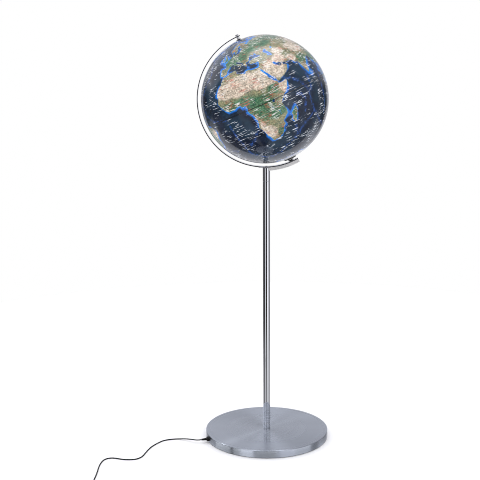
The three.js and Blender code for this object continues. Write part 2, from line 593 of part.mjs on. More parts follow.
function makeCord() {
  const floor = CORD_FLOOR;
  const exit = new THREE.Vector3(0, 0, GLAND_TIP + GAP).applyMatrix4(gland.matrix);
  const run = [
    exit,
    new THREE.Vector3(-221, -77, 12.0), new THREE.Vector3(-230, -75, 11.2),
    new THREE.Vector3(-240, -69, 9.9), new THREE.Vector3(-252, -60.5, 8.0),
    new THREE.Vector3(-266, -52, 5.6), new THREE.Vector3(-282, -46, 3.3),
    new THREE.Vector3(-300, -44.5, floor + 0.3), new THREE.Vector3(-320, -48.5, floor),
    new THREE.Vector3(-340, -60, floor), new THREE.Vector3(-357, -83, floor),
    new THREE.Vector3(-371.5, -110, floor), new THREE.Vector3(-380.5, -138, floor),
    new THREE.Vector3(-386.5, -163, floor), new THREE.Vector3(-392, -187, floor),
    new THREE.Vector3(-401, -204, floor), new THREE.Vector3(-413, -213.5, floor),
    new THREE.Vector3(-428, -216.5, floor), new THREE.Vector3(-444.5, -216, floor),
    new THREE.Vector3(-459, -212.5, floor), new THREE.Vector3(-473, -207, floor),
    new THREE.Vector3(-489, -204.5, floor), new THREE.Vector3(-503.5, -211, floor),
    new THREE.Vector3(-512, -225, floor), new THREE.Vector3(-516, -245, floor),
    new THREE.Vector3(-517.5, -275, floor), new THREE.Vector3(-516.5, -310, floor),
    new THREE.Vector3(-516.5, -345, floor), new THREE.Vector3(-517.5, -375, floor),
    new THREE.Vector3(SWITCH_X, -395, floor + 1.2), new THREE.Vector3(SWITCH_X, -412, 6),
    new THREE.Vector3(SWITCH_X, SWITCH_START + 9, SWITCH_SPLIT - 0.3),
    new THREE.Vector3(SWITCH_X, SWITCH_START + 2 * GAP, SWITCH_SPLIT),
  ];
  add(model, 'cord_run', tube(new THREE.CatmullRomCurve3(run), CORD_RADIUS, 64), blackRubber);

  const joinX = COIL_X - TURN_RADIUS;    // where the cord runs into the coil, going +Y
  const bend = (joinX - SWITCH_X) / 2;
  const bendY = SWITCH_END - 8;
  const link = [
    new THREE.Vector3(SWITCH_X, SWITCH_END - 2 * GAP, SWITCH_SPLIT),
    new THREE.Vector3(SWITCH_X, SWITCH_END - 6, SWITCH_SPLIT - 0.4),
  ];
  for (let step = 1; step <= 5; step++) {
    const angle = step * Math.PI / 6;
    const height = Math.max(floor, SWITCH_SPLIT - 2.2 * step);
    link.push(new THREE.Vector3(SWITCH_X + bend * (1 - Math.cos(angle)),
      bendY - bend * Math.sin(angle), height));
  }
  link.push(new THREE.Vector3(joinX, COIL_Y - 22, floor));
  link.push(new THREE.Vector3(joinX, COIL_Y - 15, floor));
  add(model, 'cord_link', tube(new THREE.CatmullRomCurve3(link), CORD_RADIUS, 12), blackRubber);

  const coil = add(model, 'cord_coil', sleeve(COIL_INNER, COIL_OUTER, 0.1, COIL_TOP), blackRubber);
  coil.position.set(COIL_X, COIL_Y, 0);

  const tail = [
    new THREE.Vector3(COIL_X + 15, PLUG_Y, TOP_TURN), new THREE.Vector3(-436, PLUG_Y, 12.1),
    new THREE.Vector3(-427, PLUG_Y, 9.4), new THREE.Vector3(-419, PLUG_Y, 7.4),
    new THREE.Vector3(PLUG_START - GAP, PLUG_Y, PLUG_HEIGHT / 2),
  ];
  add(model, 'cord_tail', tube(new THREE.CatmullRomCurve3(tail), CORD_RADIUS, 5), blackRubber);
}

function makeSwitch() {
  const place = new THREE.Group();
  place.position.set(SWITCH_X, SWITCH_START - SWITCH_LENGTH / 2, 0);
  model.add(place);
  const window = block(new THREE.Vector3(-6.2, -10, 2), new THREE.Vector3(6.2, 10, 30));
  const pocket = block(new THREE.Vector3(-6.2, -10, 6), new THREE.Vector3(6.2, 10, 30));
  const half = (bottom, top) =>
    roundedBlock(SWITCH_WIDTH, SWITCH_LENGTH, bottom, top, SWITCH_CORNER, SWITCH_SOFTENING);
  const base = half(0, SWITCH_SPLIT - GAP / 2);
  const cover = half(SWITCH_SPLIT + GAP / 2, SWITCH_TOP);
  add(place, 'switch_base', cut(base, pocket), blackPlastic);
  add(place, 'switch_cover', cut(cover, window), blackPlastic);

  const outline = new THREE.Shape();     // in Y and Z: a shallow dished rocker
  outline.moveTo(-9, -2.6);
  outline.lineTo(9, -2.6);
  outline.lineTo(9.2, 2.2);
  outline.quadraticCurveTo(4, 1.2, 0, 1.2);
  outline.quadraticCurveTo(-4, 1.2, -9.2, 2.2);
  outline.closePath();
  const options = { depth: ROCKER_WIDTH, bevelEnabled: false, curveSegments: 4 };
  const rocker = new THREE.ExtrudeGeometry(outline, options)
    .translate(0, 0, -ROCKER_WIDTH / 2).rotateX(Math.PI / 2).rotateZ(Math.PI / 2);
  const pressed = add(place, 'switch_rocker', rocker, blackPlastic);
  pressed.position.z = ROCKER_AXIS_HEIGHT;
  pressed.rotation.x = ROCKER_REST_TILT;
}

function makePlug() {
  const soften = 2;
  const half = PLUG_WIDTH / 2 - soften;
  const outline = new THREE.Shape();
  outline.moveTo(soften, -3.5);
  outline.lineTo(14, -9);
  outline.lineTo(24, -half);
  outline.lineTo(PLUG_LENGTH - soften, -half);
  outline.lineTo(PLUG_LENGTH - soften, half);
  outline.lineTo(24, half);
  outline.lineTo(14, 9);
  outline.lineTo(soften, 3.5);
  outline.closePath();
  const options = {
    depth: PLUG_HEIGHT - 2 * soften, bevelThickness: soften, bevelSize: soften, bevelSegments: 2,
  };
  const place = new THREE.Group();
  place.position.set(PLUG_START, PLUG_Y, 0);
  model.add(place);
  add(place, 'plug_body', new THREE.ExtrudeGeometry(outline, options).translate(0, 0, soften),
    blackRubber);
  [-1, 1].forEach((side, i) => {
    const pin = rod(2, 0, PIN_LENGTH).rotateY(Math.PI / 2);
    const mesh = add(place, `plug_pin_${i + 1}`, pin, chrome);
    mesh.position.set(PLUG_LENGTH + GAP, side * PIN_SPACING / 2, PLUG_HEIGHT / 2);
  });
}

makeBase();
makePost();
makeStrip();
makeFittings();
makeGlobe();
makeInnerLead();
makeCord();
makeSwitch();
makePlug();

export default model;
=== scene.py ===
"""Looks of the floor-standing illuminated globe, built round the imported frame. Metres."""

import json
import math

import bpy
import numpy as np
from mathutils import Matrix, Vector


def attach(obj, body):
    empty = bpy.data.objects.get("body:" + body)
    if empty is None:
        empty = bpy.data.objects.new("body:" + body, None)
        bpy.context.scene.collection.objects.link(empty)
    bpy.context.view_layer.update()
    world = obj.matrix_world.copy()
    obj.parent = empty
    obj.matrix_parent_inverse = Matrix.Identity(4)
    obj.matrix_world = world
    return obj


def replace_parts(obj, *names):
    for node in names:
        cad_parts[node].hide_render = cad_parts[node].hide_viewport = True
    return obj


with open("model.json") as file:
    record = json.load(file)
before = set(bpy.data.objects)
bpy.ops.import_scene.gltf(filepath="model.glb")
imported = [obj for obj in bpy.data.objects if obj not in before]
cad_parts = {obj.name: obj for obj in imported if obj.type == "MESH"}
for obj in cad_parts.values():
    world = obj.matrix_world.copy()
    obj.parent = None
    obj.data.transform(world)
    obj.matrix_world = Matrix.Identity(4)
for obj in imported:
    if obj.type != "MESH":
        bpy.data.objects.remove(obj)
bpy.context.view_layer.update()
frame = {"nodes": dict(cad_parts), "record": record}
scene = bpy.context.scene
scene.view_settings.view_transform = "Standard"
scene.cycles.filter_width = 1.0          # crisp edges


# ---------------------------------------------------------------- places and sizes

def joint(name):
    return next(j for j in frame["record"]["behaviour"]["joints"] if j["name"] == name)


MM = 0.001
SHARP = 35.0                           # corners sharper than this, in degrees, stay sharp
GLOBE_CENTRE = Vector(joint("globe_spin")["pos_m"])
GLOBE_AXIS = Vector(joint("globe_spin")["axis"])
TILT = math.atan2(-GLOBE_AXIS.x, GLOBE_AXIS.z)
ARM = Matrix.Translation(GLOBE_CENTRE)                      # upright, at the globe's centre
AXIS = ARM @ Matrix.Rotation(-TILT, 4, "Y")                 # +Z along the globe's axis
GLOBE_RADIUS = 200 * MM
GLOBE_WALL = 2.5 * MM
NORTH_HOLE, SOUTH_HOLE = 6 * MM, 17 * MM
SEAM = 0.3 * MM

STRIP_INNER, STRIP_OUTER, STRIP_WIDTH = 209.6 * MM, 212.6 * MM, 22 * MM
NORTH_ANGLE = 90 + math.degrees(TILT)
STRIP_START, STRIP_END = NORTH_ANGLE - 2.3, NORTH_ANGLE + 186
DUCT_OUTER, DUCT_WIDTH, DUCT_WALL = 223.2 * MM, 20 * MM, 1.5 * MM
DUCT_START = 273.0
DUCT_SCREW_ANGLE = NORTH_ANGLE + 184
POST_X = -GLOBE_CENTRE.x                                    # the post's axis, seen from the arm
STRIP_SCREW_Y = 6.4 * MM

BASE_RADIUS = 201 * MM
BASE_TOP = 25.5 * MM
GLAND_AZIMUTH = math.radians(-160.5)
GLAND_HEIGHT = 12.5 * MM
GLAND_TIP = 226 * MM
GLAND = (Matrix.Translation((0, 0, GLAND_HEIGHT)) @ Matrix.Rotation(GLAND_AZIMUTH, 4, "Z")
         @ Matrix.Rotation(math.pi / 2, 4, "Y"))            # +Z outwards along the gland

CORD_RADIUS = 1.85 * MM
SWITCH_X, SWITCH_Y, SWITCH_LENGTH = -518 * MM, -467 * MM, 62 * MM
SWITCH_WIDTH, SWITCH_SPLIT, SWITCH_TOP = 26 * MM, 9 * MM, 18 * MM
COIL = Vector((-459 * MM, -474 * MM, 0))
COIL_OUTER, COIL_INNER = 24.5 * MM, 16.3 * MM               # centrelines of the outer and inner turns
COIL_LOW, LAYER = 2.7 * MM, 3.8 * MM
COIL_LAYERS = 4
PLUG_X, PLUG_Y = -412 * MM, COIL.y + COIL_OUTER
PLUG_LENGTH, PLUG_HEIGHT = 36 * MM, 13.8 * MM


# ---------------------------------------------------------------- camera

def make_camera():
    """On a tripod 3.3 m in front, a little above the globe's centre, looking slightly down."""
    pitch, yaw, roll = math.radians(10.98), math.radians(-1.47), math.radians(-0.36)
    forward = Vector((math.sin(yaw) * math.cos(pitch), math.cos(yaw) * math.cos(pitch),
                      -math.sin(pitch)))
    level = Vector((math.cos(yaw), -math.sin(yaw), 0.0))
    above = level.cross(forward)
    right = level * math.cos(roll) + above * math.sin(roll)
    up = above * math.cos(roll) - level * math.sin(roll)
    data = bpy.data.cameras.new("camera")
    data.sensor_width = 36.0
    data.lens = 78.77
    camera = bpy.data.objects.new("camera", data)
    turn = Matrix((right, up, -forward)).transposed().to_4x4()
    camera.matrix_world = Matrix.Translation((0.0, -3.309, 1.303)) @ turn
    scene.collection.objects.link(camera)
    scene.camera = camera


make_camera()


# ---------------------------------------------------------------- shape helpers

def put(name, verts, faces, place=None, body="stand", sharp=SHARP):
    """A smooth-shaded mesh object with sharp corners kept, riding on a body."""
    mesh = bpy.data.meshes.new(name)
    mesh.from_pydata([tuple(v) for v in verts], [], faces)
    if place is not None:
        mesh.transform(place)
    obj = bpy.data.objects.new(name, mesh)
    scene.collection.objects.link(obj)
    smooth(obj, sharp)
    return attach(obj, body)


def smooth(obj, sharp):
    obj.data.shade_smooth()
    obj.data.set_sharp_from_angle(angle=math.radians(sharp))


def fillet(points, steps=4):
    """Rounds the corners of a closed outline. A point is (x, y) or (x, y, rounding)."""
    outline = []
    for i, point in enumerate(points):
        corner = Vector(point[:2])
        if len(point) < 3:
            outline.append(corner)
            continue
        back = (Vector(points[i - 1][:2]) - corner).normalized()
        ahead = (Vector(points[(i + 1) % len(points)][:2]) - corner).normalized()
        half = back.angle(ahead) / 2
        reach = point[2] / math.tan(half)
        start, end = corner + back * reach, corner + ahead * reach
        for k in range(steps + 1):
            t = k / steps
            outline.append(start.lerp(corner, t).lerp(corner.lerp(end, t), t))
    return [tuple(p) for p in outline]


def lathe(name, profile, place=None, body="stand", sides=96, ripple=None, sharp=SHARP):
    """A turned piece about Z. profile is (radius, z) points, going up on the outside.
    ripple is (count, depth, low, high): a knurl between two heights."""
    verts, faces, rings = [], [], []
    for radius, z in profile:
        if radius < 1e-7:
            rings.append([len(verts)])
            verts.append((0.0, 0.0, z))
            continue
        rings.append(list(range(len(verts), len(verts) + sides)))
        for i in range(sides):
            angle = 2 * math.pi * i / sides
            grown = radius
            if ripple and ripple[2] <= z <= ripple[3]:
                grown += ripple[1] * math.cos(ripple[0] * angle)
            verts.append((grown * math.cos(angle), grown * math.sin(angle), z))
    pairs = list(zip(rings, rings[1:]))
    if len(rings[0]) > 1:
        pairs.append((rings[-1], rings[0]))
    for low, high in pairs:
        for i in range(sides):
            j = (i + 1) % sides
            if len(low) == len(high) == 1:
                break
            if len(low) == 1:
                faces.append((low[0], high[j], high[i]))
            elif len(high) == 1:
                faces.append((low[i], low[j], high[0]))
            else:
                faces.append((low[i], low[j], high[j], high[i]))
    return put(name, verts, faces, place, body, sharp)


def loft(name, rings, place=None, body="stand", sharp=SHARP):
    """Skins rings of equal length and closes both ends."""
    count = len(rings[0])
    verts = [v for ring in rings for v in ring]
    faces = [tuple(reversed(range(count)))]
    for k in range(len(rings) - 1):
        for i in range(count):
            j = (i + 1) % count
            faces.append((k * count + i, k * count + j, (k + 1) * count + j, (k + 1) * count + i))
    last = (len(rings) - 1) * count
    faces.append(tuple(range(last, last + count)))
    return put(name, verts, faces, place, body, sharp)


def ball_block(name, outline, levels, place):
    """A block standing on Z, whose outline is drawn in by an amount at each level.
    outline(inset) gives the (x, y) points, levels are (z, inset)."""
    return loft(name, [[(x, y, z) for x, y in outline(inset)] for z, inset in levels], place)


def soft_levels(low, high, rounding, steps=4):
    """Levels for ball_block with quarter-round top and bottom edges."""
    turn = [math.pi / 2 * k / steps for k in range(steps + 1)]
    depths = [(rounding * (1 - math.sin(a)), rounding * (1 - math.cos(a))) for a in turn]
    bottom = [(low + depth, inset) for depth, inset in reversed(depths)]
    return bottom + [(high - depth, inset) for depth, inset in depths]


def curved_bar(name, inner, outer, start, end, width, rounding, steps):
    """A bar bent round the Y axis, from one angle to another (degrees from +X towards +Z)."""
    half = width / 2
    section = fillet([(half, inner, rounding), (half, outer, rounding),
                      (-half, outer, rounding), (-half, inner, rounding)])
    rings = []
    for k in range(steps + 1):
        angle = math.radians(start + (end - start) * k / steps)
        rings.append([(r * math.cos(angle), y, r * math.sin(angle)) for y, r in section])
    return loft(name, rings, ARM)


def carve(obj, *tools, operation="DIFFERENCE"):
    """Cuts obj by tool objects, which are then removed."""
    for tool in tools:
        change = obj.modifiers.new("cut", "BOOLEAN")
        change.operation, change.object, change.solver = operation, tool, "EXACT"
        bpy.context.view_layer.update()
        cut = bpy.data.meshes.new_from_object(obj.evaluated_get(bpy.context.evaluated_depsgraph_get()))
        obj.modifiers.clear()
        obj.data = cut
        bpy.data.objects.remove(tool)
    smooth(obj, SHARP)
    return obj


def mm(*points):
    """Points of an outline, given in millimetres."""
    return [tuple(value * MM for value in point) for point in points]


def rod(name, radius, low, high, place=None, sides=48):
    return lathe(name, [(0, low), (radius, low), (radius, high), (0, high)], place, sides=sides)


def box(name, low, high, place=None):
    corners = [(low[0], low[1]), (high[0], low[1]), (high[0], high[1]), (low[0], high[1])]
    return loft(name, [[(x, y, z) for x, y in corners] for z in (low[2], high[2])], place)


def round_line(points, step=3 * MM):
    """A smooth line through the points (centripetal Catmull-Rom), sampled about every step."""
    points = [Vector(p) for p in points]
    ends = [points[0] * 2 - points[1], *points, points[-1] * 2 - points[-2]]
    line = []
    for a, b, c, d in zip(ends, ends[1:], ends[2:], ends[3:]):
        t1 = (b - a).length ** 0.5
        t2 = t1 + (c - b).length ** 0.5
        t3 = t2 + (d - c).length ** 0.5
        count = max(2, round((c - b).length / step))
        for k in range(count):
            t = t1 + (t2 - t1) * k / count
            p = a.lerp(b, t / t1)
            q = b.lerp(c, (t - t1) / (t2 - t1))
            r = c.lerp(d, (t - t2) / (t3 - t2))
            s = p.lerp(q, t / t2)
            u = q.lerp(r, (t - t1) / (t3 - t1))
            line.append(s.lerp(u, (t - t1) / (t2 - t1)))
    return line + [points[-1]]


def pipe(name, line, radii, sides=24, body="stand"):
    """A tube along a line with a radius at each point, closed at both ends."""
    rings, side = [], None
    for k, point in enumerate(line):
        along = (line[min(k + 1, len(line) - 1)] - line[max(k - 1, 0)]).normalized()
        side = along.orthogonal() if side is None else side - along * side.dot(along)
        side.normalize()
        other = along.cross(side)
        rings.append([point + (side * math.cos(a) + other * math.sin(a)) * radii[k]
                      for a in (2 * math.pi * i / sides for i in range(sides))])
    return loft(name, rings, body=body)


# ---------------------------------------------------------------- mains lead

def cord_line():
    """The lead's centreline: gland, floor, through the switch, coil and plug."""
    low = 1.95                             # height of the lead's centre where it lies on the floor
    switch, join = SWITCH_X / MM, -483.5   # X of the switch, X of the way into the coil
    bend = (join - switch) / 2
    run = [
        (-213.3, -75.5, 12.5), (-221, -77, 12.0), (-230, -75, 11.2), (-240, -69, 9.9),
        (-252, -60.5, 8.0), (-266, -52, 5.6), (-282, -46, 3.3), (-300, -44.5, low + 0.3),
        (-320, -48.5, low), (-340, -60, low), (-357, -83, low), (-371.5, -110, low),
        (-380.5, -138, low), (-386.5, -163, low), (-392, -187, low), (-401, -204, low),
        (-413, -213.5, low), (-428, -216.5, low), (-444.5, -216, low), (-459, -212.5, low),
        (-473, -207, low), (-489, -204.5, low), (-503.5, -211, low), (-512, -225, low),
        (-516, -245, low), (-517.5, -275, low), (-516.5, -310, low), (-516.5, -345, low),
        (-517.5, -375, low), (switch, -395, low + 1.2), (switch, -412, 6), (switch, -427, 8.7),
        (switch, -436, 9), (switch, -467, 9), (switch, -498, 9), (switch, -504, 8.6),
    ]
    for step in range(1, 6):               # the half turn from the switch into the coil
        angle = step * math.pi / 6
        run.append((switch + bend * (1 - math.cos(angle)), -506 - bend * math.sin(angle),
                    max(low, 9 - 2.2 * step)))
    run += [(join, -496, low), (join, -487, 2.2)]
    line = [Vector(p) * MM for p in run]

    layer_turns, climb_turns, parts = 2.0, 5 / 12, 36
    turned = 0.0
    coil = []
    for layer in range(COIL_LAYERS):
        radii = (COIL_OUTER, COIL_INNER) if layer % 2 == 0 else (COIL_INNER, COIL_OUTER)
        stretches = [(layer_turns, radii[0], radii[1], 0.0)]
        if layer < COIL_LAYERS - 1:
            stretches.append((climb_turns, radii[1], radii[1], LAYER))
        for turns, first, last, climb in stretches:
            count = round(turns * parts)
            for k in range(count):
                t = k / count
                angle = math.pi - 2 * math.pi * (turned + turns * t)
                radius = first + (last - first) * t
                coil.append(COIL + Vector((radius * math.cos(angle), radius * math.sin(angle),
                                           COIL_LOW + LAYER * layer + climb * t)))
            turned += turns
    coil.append(COIL + Vector((0, COIL_OUTER, COIL_LOW + LAYER * (COIL_LAYERS - 1))))
    tail = [Vector(p) * MM for p in ((-447, -449.5, 13.9), (-436, -449.5, 12.3), (-427, -449.5, 9.6),
                                     (-419, -449.5, 7.5), (-411, -449.5, 6.9))]
    before = round_line(line + coil[:1])
    after = round_line(coil[-1:] + tail)
    return before[:-1] + coil + after[1:], after


def make_cord():
    line, tail = cord_line()
    cord = pipe("mains_cord", line, [CORD_RADIUS] * len(line), 20)
    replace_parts(cord, "cord_run", "cord_link", "cord_coil", "cord_tail")
    length = sum((b - a).length for a, b in zip(line, line[1:]))
    return cord, line, tail, length


cord, cord_points, cord_tail, cord_length = make_cord()


# ---------------------------------------------------------------- node graphs

class Graph:
    """A short way to write a node tree: a value that is a socket is linked, any other is set."""

    def __init__(self, tree):
        self.tree = tree
        tree.nodes.clear()

    def node(self, kind, settings=None, inputs=None):
        made = self.tree.nodes.new("ShaderNode" + kind)
        for key, value in (settings or {}).items():
            setattr(made, key, value)
        for key, value in (inputs or {}).items():
            self.connect(value, made.inputs[key])
        return made

    def connect(self, value, socket):
        if isinstance(value, bpy.types.NodeSocket):
            self.tree.links.new(value, socket)
        else:
            socket.default_value = value

    def calc(self, operation, a, b=0.0):
        return self.node("Math", {"operation": operation}, {0: a, 1: b}).outputs[0]

    def plus(self, a, b):
        return self.calc("ADD", a, b)

    def times(self, a, b):
        return self.calc("MULTIPLY", a, b)

    def grey(self, level):
        return self.node("CombineColor", None, {0: level, 1: level, 2: level}).outputs[0]

    def mix(self, factor, a, b, blend="MIX"):
        settings = {"data_type": "RGBA", "blend_type": blend}
        return self.node("Mix", settings, {0: factor, 6: a, 7: b}).outputs[2]

    def step(self, value, low, high, start=0.0, end=1.0):
        """A smooth change from start to end while value goes from low to high."""
        settings = {"interpolation_type": "SMOOTHSTEP"}
        return self.node("MapRange", settings, {0: value, 1: low, 2: high, 3: start, 4: end}).outputs[0]

    def noise(self, place, scale, detail=3.0, roughness=0.55):
        inputs = {"Vector": place, "Scale": scale, "Detail": detail, "Roughness": roughness}
        return self.node("TexNoise", None, inputs).outputs[0]

    def stretch(self, place, scale, shift=(0.0, 0.0, 0.0)):
        inputs = {"Vector": place, "Location": shift, "Scale": scale}
        return self.node("Mapping", None, inputs).outputs[0]

    def bump(self, height, strength, distance):
        inputs = {"Height": height, "Strength": strength, "Distance": distance}
        return self.node("Bump", None, inputs).outputs[0]

    def attribute(self, name):
        return self.node("Attribute", {"attribute_name": name}).outputs["Fac"]


def rgb(red, green, blue):
    return (red, green, blue, 1.0)


def material(name, build, **constants):
    """A Principled material. build(graph, place) gives linked inputs; constants are set directly."""
    made = bpy.data.materials.new(name)
    made.use_nodes = True
    graph = Graph(made.node_tree)
    place = graph.node("TexCoord").outputs["Object"]
    surface = graph.node("BsdfPrincipled")
    for key, value in {**constants, **build(graph, place)}.items():
        graph.connect(value, surface.inputs[key.replace("_", " ")])
    graph.node("OutputMaterial", None, {"Surface": surface.outputs[0]})
    return made


# ---------------------------------------------------------------- materials

def worn(graph, place, clean, dull, scale):
    """A base colour that drifts between two tones in soft cloudy patches."""
    return graph.mix(graph.step(graph.noise(place, scale, 4.0), 0.15, 0.85), clean, dull)


def plain(clean, dull, patch, rough, grain):
    """A finish in cloudy patches of two tones. patch is their scale, rough is the gloss's (scale,
    low, high), grain is the fine bumps' (scale, detail, strength, distance)."""
    def build(graph, place):
        fine, detail, strength, distance = grain
        return {
            "Base_Color": worn(graph, place, clean, dull, patch),
            "Roughness": graph.step(graph.noise(place, rough[0]), 0.3, 0.7, rough[1], rough[2]),
            "Normal": graph.bump(graph.noise(place, fine, detail), strength, distance),
        }
    return build


def chrome(graph, place):
    smear = graph.step(graph.noise(place, 9.0, 4.0), 0.35, 0.75, 0.02, 0.055)
    return {
        "Base_Color": worn(graph, place, rgb(0.86, 0.87, 0.89), rgb(0.80, 0.81, 0.84), 14.0),
        "Roughness": graph.plus(smear, graph.times(graph.noise(place, 140.0, 2.0), 0.012)),
        "Normal": graph.bump(graph.noise(place, 60.0, 2.0), 0.02, 0.0004),
    }


def spun_steel(graph, place):
    """Sheet brushed on a lathe: fine rings round Z, with a few deeper ones."""
    x, y, z = graph.node("SeparateXYZ", None, {0: place}).outputs
    squares = graph.plus(graph.calc("POWER", x, 2.0), graph.calc("POWER", y, 2.0))
    rings = graph.node("CombineXYZ", None, {0: graph.calc("SQRT", squares), 1: z}).outputs[0]
    fine = graph.noise(rings, 900.0, 3.0, 0.7)
    broad = graph.noise(rings, 60.0, 3.0, 0.6)
    tone = graph.mix(graph.step(fine, 0.3, 0.7), rgb(0.46, 0.50, 0.57), rgb(0.54, 0.58, 0.65))
    cloud = graph.step(graph.noise(place, 7.0, 3.0), 0.3, 0.7, 0.94, 1.03)
    return {
        "Base_Color": graph.mix(1.0, tone, graph.grey(cloud), "MULTIPLY"),
        "Roughness": graph.step(broad, 0.3, 0.7, 0.25, 0.30),
        "Tangent": graph.node("Tangent", {"direction_type": "RADIAL", "axis": "Z"}).outputs[0],
        "Normal": graph.bump(fine, 0.03, 0.0002),
    }


def brushed_steel(graph, place):
    """Brushed along the length of a bar that bends round Y."""
    grain = graph.noise(graph.stretch(place, (1.0, 40.0, 1.0)), 25.0, 4.0, 0.7)
    return {
        "Base_Color": graph.mix(graph.step(grain, 0.3, 0.7), rgb(0.78, 0.77, 0.76),
                                rgb(0.88, 0.87, 0.86)),
        "Roughness": graph.step(grain, 0.3, 0.7, 0.50, 0.62),
        "Normal": graph.bump(grain, 0.08, 0.0002),
    }


def zinc(graph, place):
    spangle = graph.node("TexVoronoi", None, {"Vector": place, "Scale": 260.0}).outputs["Distance"]
    return {
        "Base_Color": graph.mix(graph.step(spangle, 0.0, 0.8), rgb(0.50, 0.51, 0.53),
                                rgb(0.63, 0.64, 0.66)),
        "Roughness": graph.step(graph.noise(place, 90.0), 0.3, 0.7, 0.32, 0.5),
        "Normal": graph.bump(graph.noise(place, 400.0), 0.1, 0.0002),
    }


def cast_iron(graph, place):
    grit = graph.noise(place, 350.0, 5.0, 0.7)
    return {
        "Base_Color": worn(graph, place, rgb(0.045, 0.047, 0.05), rgb(0.10, 0.085, 0.075), 22.0),
        "Roughness": graph.step(grit, 0.3, 0.7, 0.6, 0.85),
        "Normal": graph.bump(grit, 0.6, 0.0006),
    }


def black_rubber(graph, place):
    dust = graph.step(graph.noise(place, 35.0, 5.0), 0.45, 0.8)
    return {
        "Base_Color": graph.mix(dust, rgb(0.006, 0.006, 0.0065), rgb(0.016, 0.0155, 0.0155)),
        "Roughness": graph.step(dust, 0.0, 1.0, 0.52, 0.72),
        "Normal": graph.bump(graph.noise(place, 900.0), 0.15, 0.0001),
    }


def map_skin(graph, place):
    """A satellite-style map under a clear lacquer. Land, climate and sea floor come as attributes
    on the shells; the tones, specks and fine strokes are worked out here."""
    land, arid, lush = (graph.attribute(name) for name in ("land", "arid", "lush"))
    ice, ridge = graph.attribute("ice"), graph.attribute("ridge")
    ball = graph.node("Attribute", {"attribute_name": "ball"}).outputs["Vector"]
    x, y, z = graph.node("SeparateXYZ", None, {0: ball}).outputs
    latitude = graph.calc("ARCSINE", z)
    sheet = graph.node("CombineXYZ", None, {0: graph.calc("ARCTAN2", y, x), 1: latitude}).outputs[0]
    middle = graph.noise(ball, 7.0, 6.0, 0.65)
    small = graph.noise(ball, 26.0, 6.0, 0.75)

    def swung(value, noise, amount):
        """The value moved up and down by a noise."""
        return graph.plus(value, graph.times(graph.calc("SUBTRACT", noise, 0.5), amount))

    def two_tone(first, second):
        return graph.mix(graph.step(small, 0.3, 0.7), first, second)

    # the sea: deep water, ridges, and shelves that glow along the coasts
    ragged = swung(land, small, 2.2)
    sea = graph.mix(graph.step(graph.noise(ball, 2.2, 4.0), 0.38, 0.62), rgb(0.001, 0.006, 0.024),
                    rgb(0.010, 0.034, 0.062))
    sea = graph.mix(graph.step(middle, 0.42, 0.80, 0.0, 0.5), sea, rgb(0.018, 0.042, 0.095))
    crest = graph.step(swung(ridge, small, 11.0), 1.6, -1.4, 0.0, 0.85)
    sea = graph.mix(crest, sea, rgb(0.020, 0.090, 0.380))
    strength = graph.step(graph.noise(ball, 3.4, 3.0), 0.36, 0.62, -1.5, 0.6)
    shelf = graph.plus(swung(land, middle, 3.0), strength)
    sea = graph.mix(graph.step(shelf, -2.2, -0.7), sea, rgb(0.002, 0.120, 0.520))
    bright = graph.times(graph.step(ragged, -1.0, -0.2), graph.step(shelf, -1.5, 0.1))
    sea = graph.mix(graph.times(bright, 0.8), sea, rgb(0.010, 0.290, 0.780))

    # the land: steppe, green and sand, with relief and ice
    ground = two_tone(rgb(0.42, 0.37, 0.21), rgb(0.12, 0.17, 0.10))
    green = two_tone(rgb(0.022, 0.120, 0.070), rgb(0.130, 0.260, 0.130))
    ground = graph.mix(graph.step(swung(lush, middle, 0.9), 0.22, 0.70), ground, green)
    sand = two_tone(rgb(0.84, 0.72, 0.58), rgb(0.46, 0.37, 0.28))
    ground = graph.mix(graph.step(swung(arid, middle, 0.8), 0.30, 0.66), ground, sand)
    relief = graph.step(graph.noise(ball, 40.0, 5.0, 0.8), 0.34, 0.66, 0.45, 1.25)
    ground = graph.mix(1.0, ground, graph.grey(relief), "MULTIPLY")
    ground = graph.mix(graph.step(swung(ice, middle, 0.5), 0.4, 0.75), ground, rgb(0.60, 0.64, 0.68))

    def strokes(under, colour, strength, scale, low, high, seed):
        """Short fine strokes along the parallels, broken into specks, gathered in loose groups."""
        mark = graph.noise(graph.stretch(sheet, scale, (seed, seed, seed)), 1.0, 1.0, 0.4)
        speck = graph.noise(graph.stretch(sheet, (230.0, 190.0, 1.0)), 1.0, 1.0, 0.5)
        group = graph.noise(graph.stretch(ball, (1.0, 1.0, 1.0), (seed, seed, 0.0)), 5.0, 2.0)
        mark = graph.times(graph.step(mark, low, high), graph.step(speck, 0.38, 0.46))
        mark = graph.times(mark, graph.step(group, 0.46, 0.58))
        return graph.mix(graph.times(mark, strength), under, colour)

    ground = strokes(ground, rgb(0.50, 0.11, 0.07), 0.80, (8.0, 84.0, 1.0), 0.55, 0.60, 3.0)
    ground = strokes(ground, rgb(0.020, 0.035, 0.028), 0.75, (10.0, 92.0, 1.0), 0.55, 0.60, 11.0)
    ground = strokes(ground, rgb(0.85, 0.84, 0.80), 0.85, (9.0, 86.0, 1.0), 0.55, 0.60, 17.0)
    sea = strokes(sea, rgb(0.80, 0.85, 0.92), 1.0, (6.0, 84.0, 1.0), 0.60, 0.64, 23.0)

    colour = graph.mix(graph.step(ragged, -0.12, 0.12), sea, ground)
    equator = graph.step(graph.calc("ABSOLUTE", latitude), 0.0050, 0.0070, 0.90, 0.0)
    return {
        "Base_Color": graph.mix(equator, colour, rgb(0.003, 0.004, 0.006)),
        "Roughness": graph.step(middle, 0.3, 0.7, 0.36, 0.46),
        "Normal": graph.bump(graph.noise(ball, 5.0, 2.0), 0.015, 0.0006),
    }


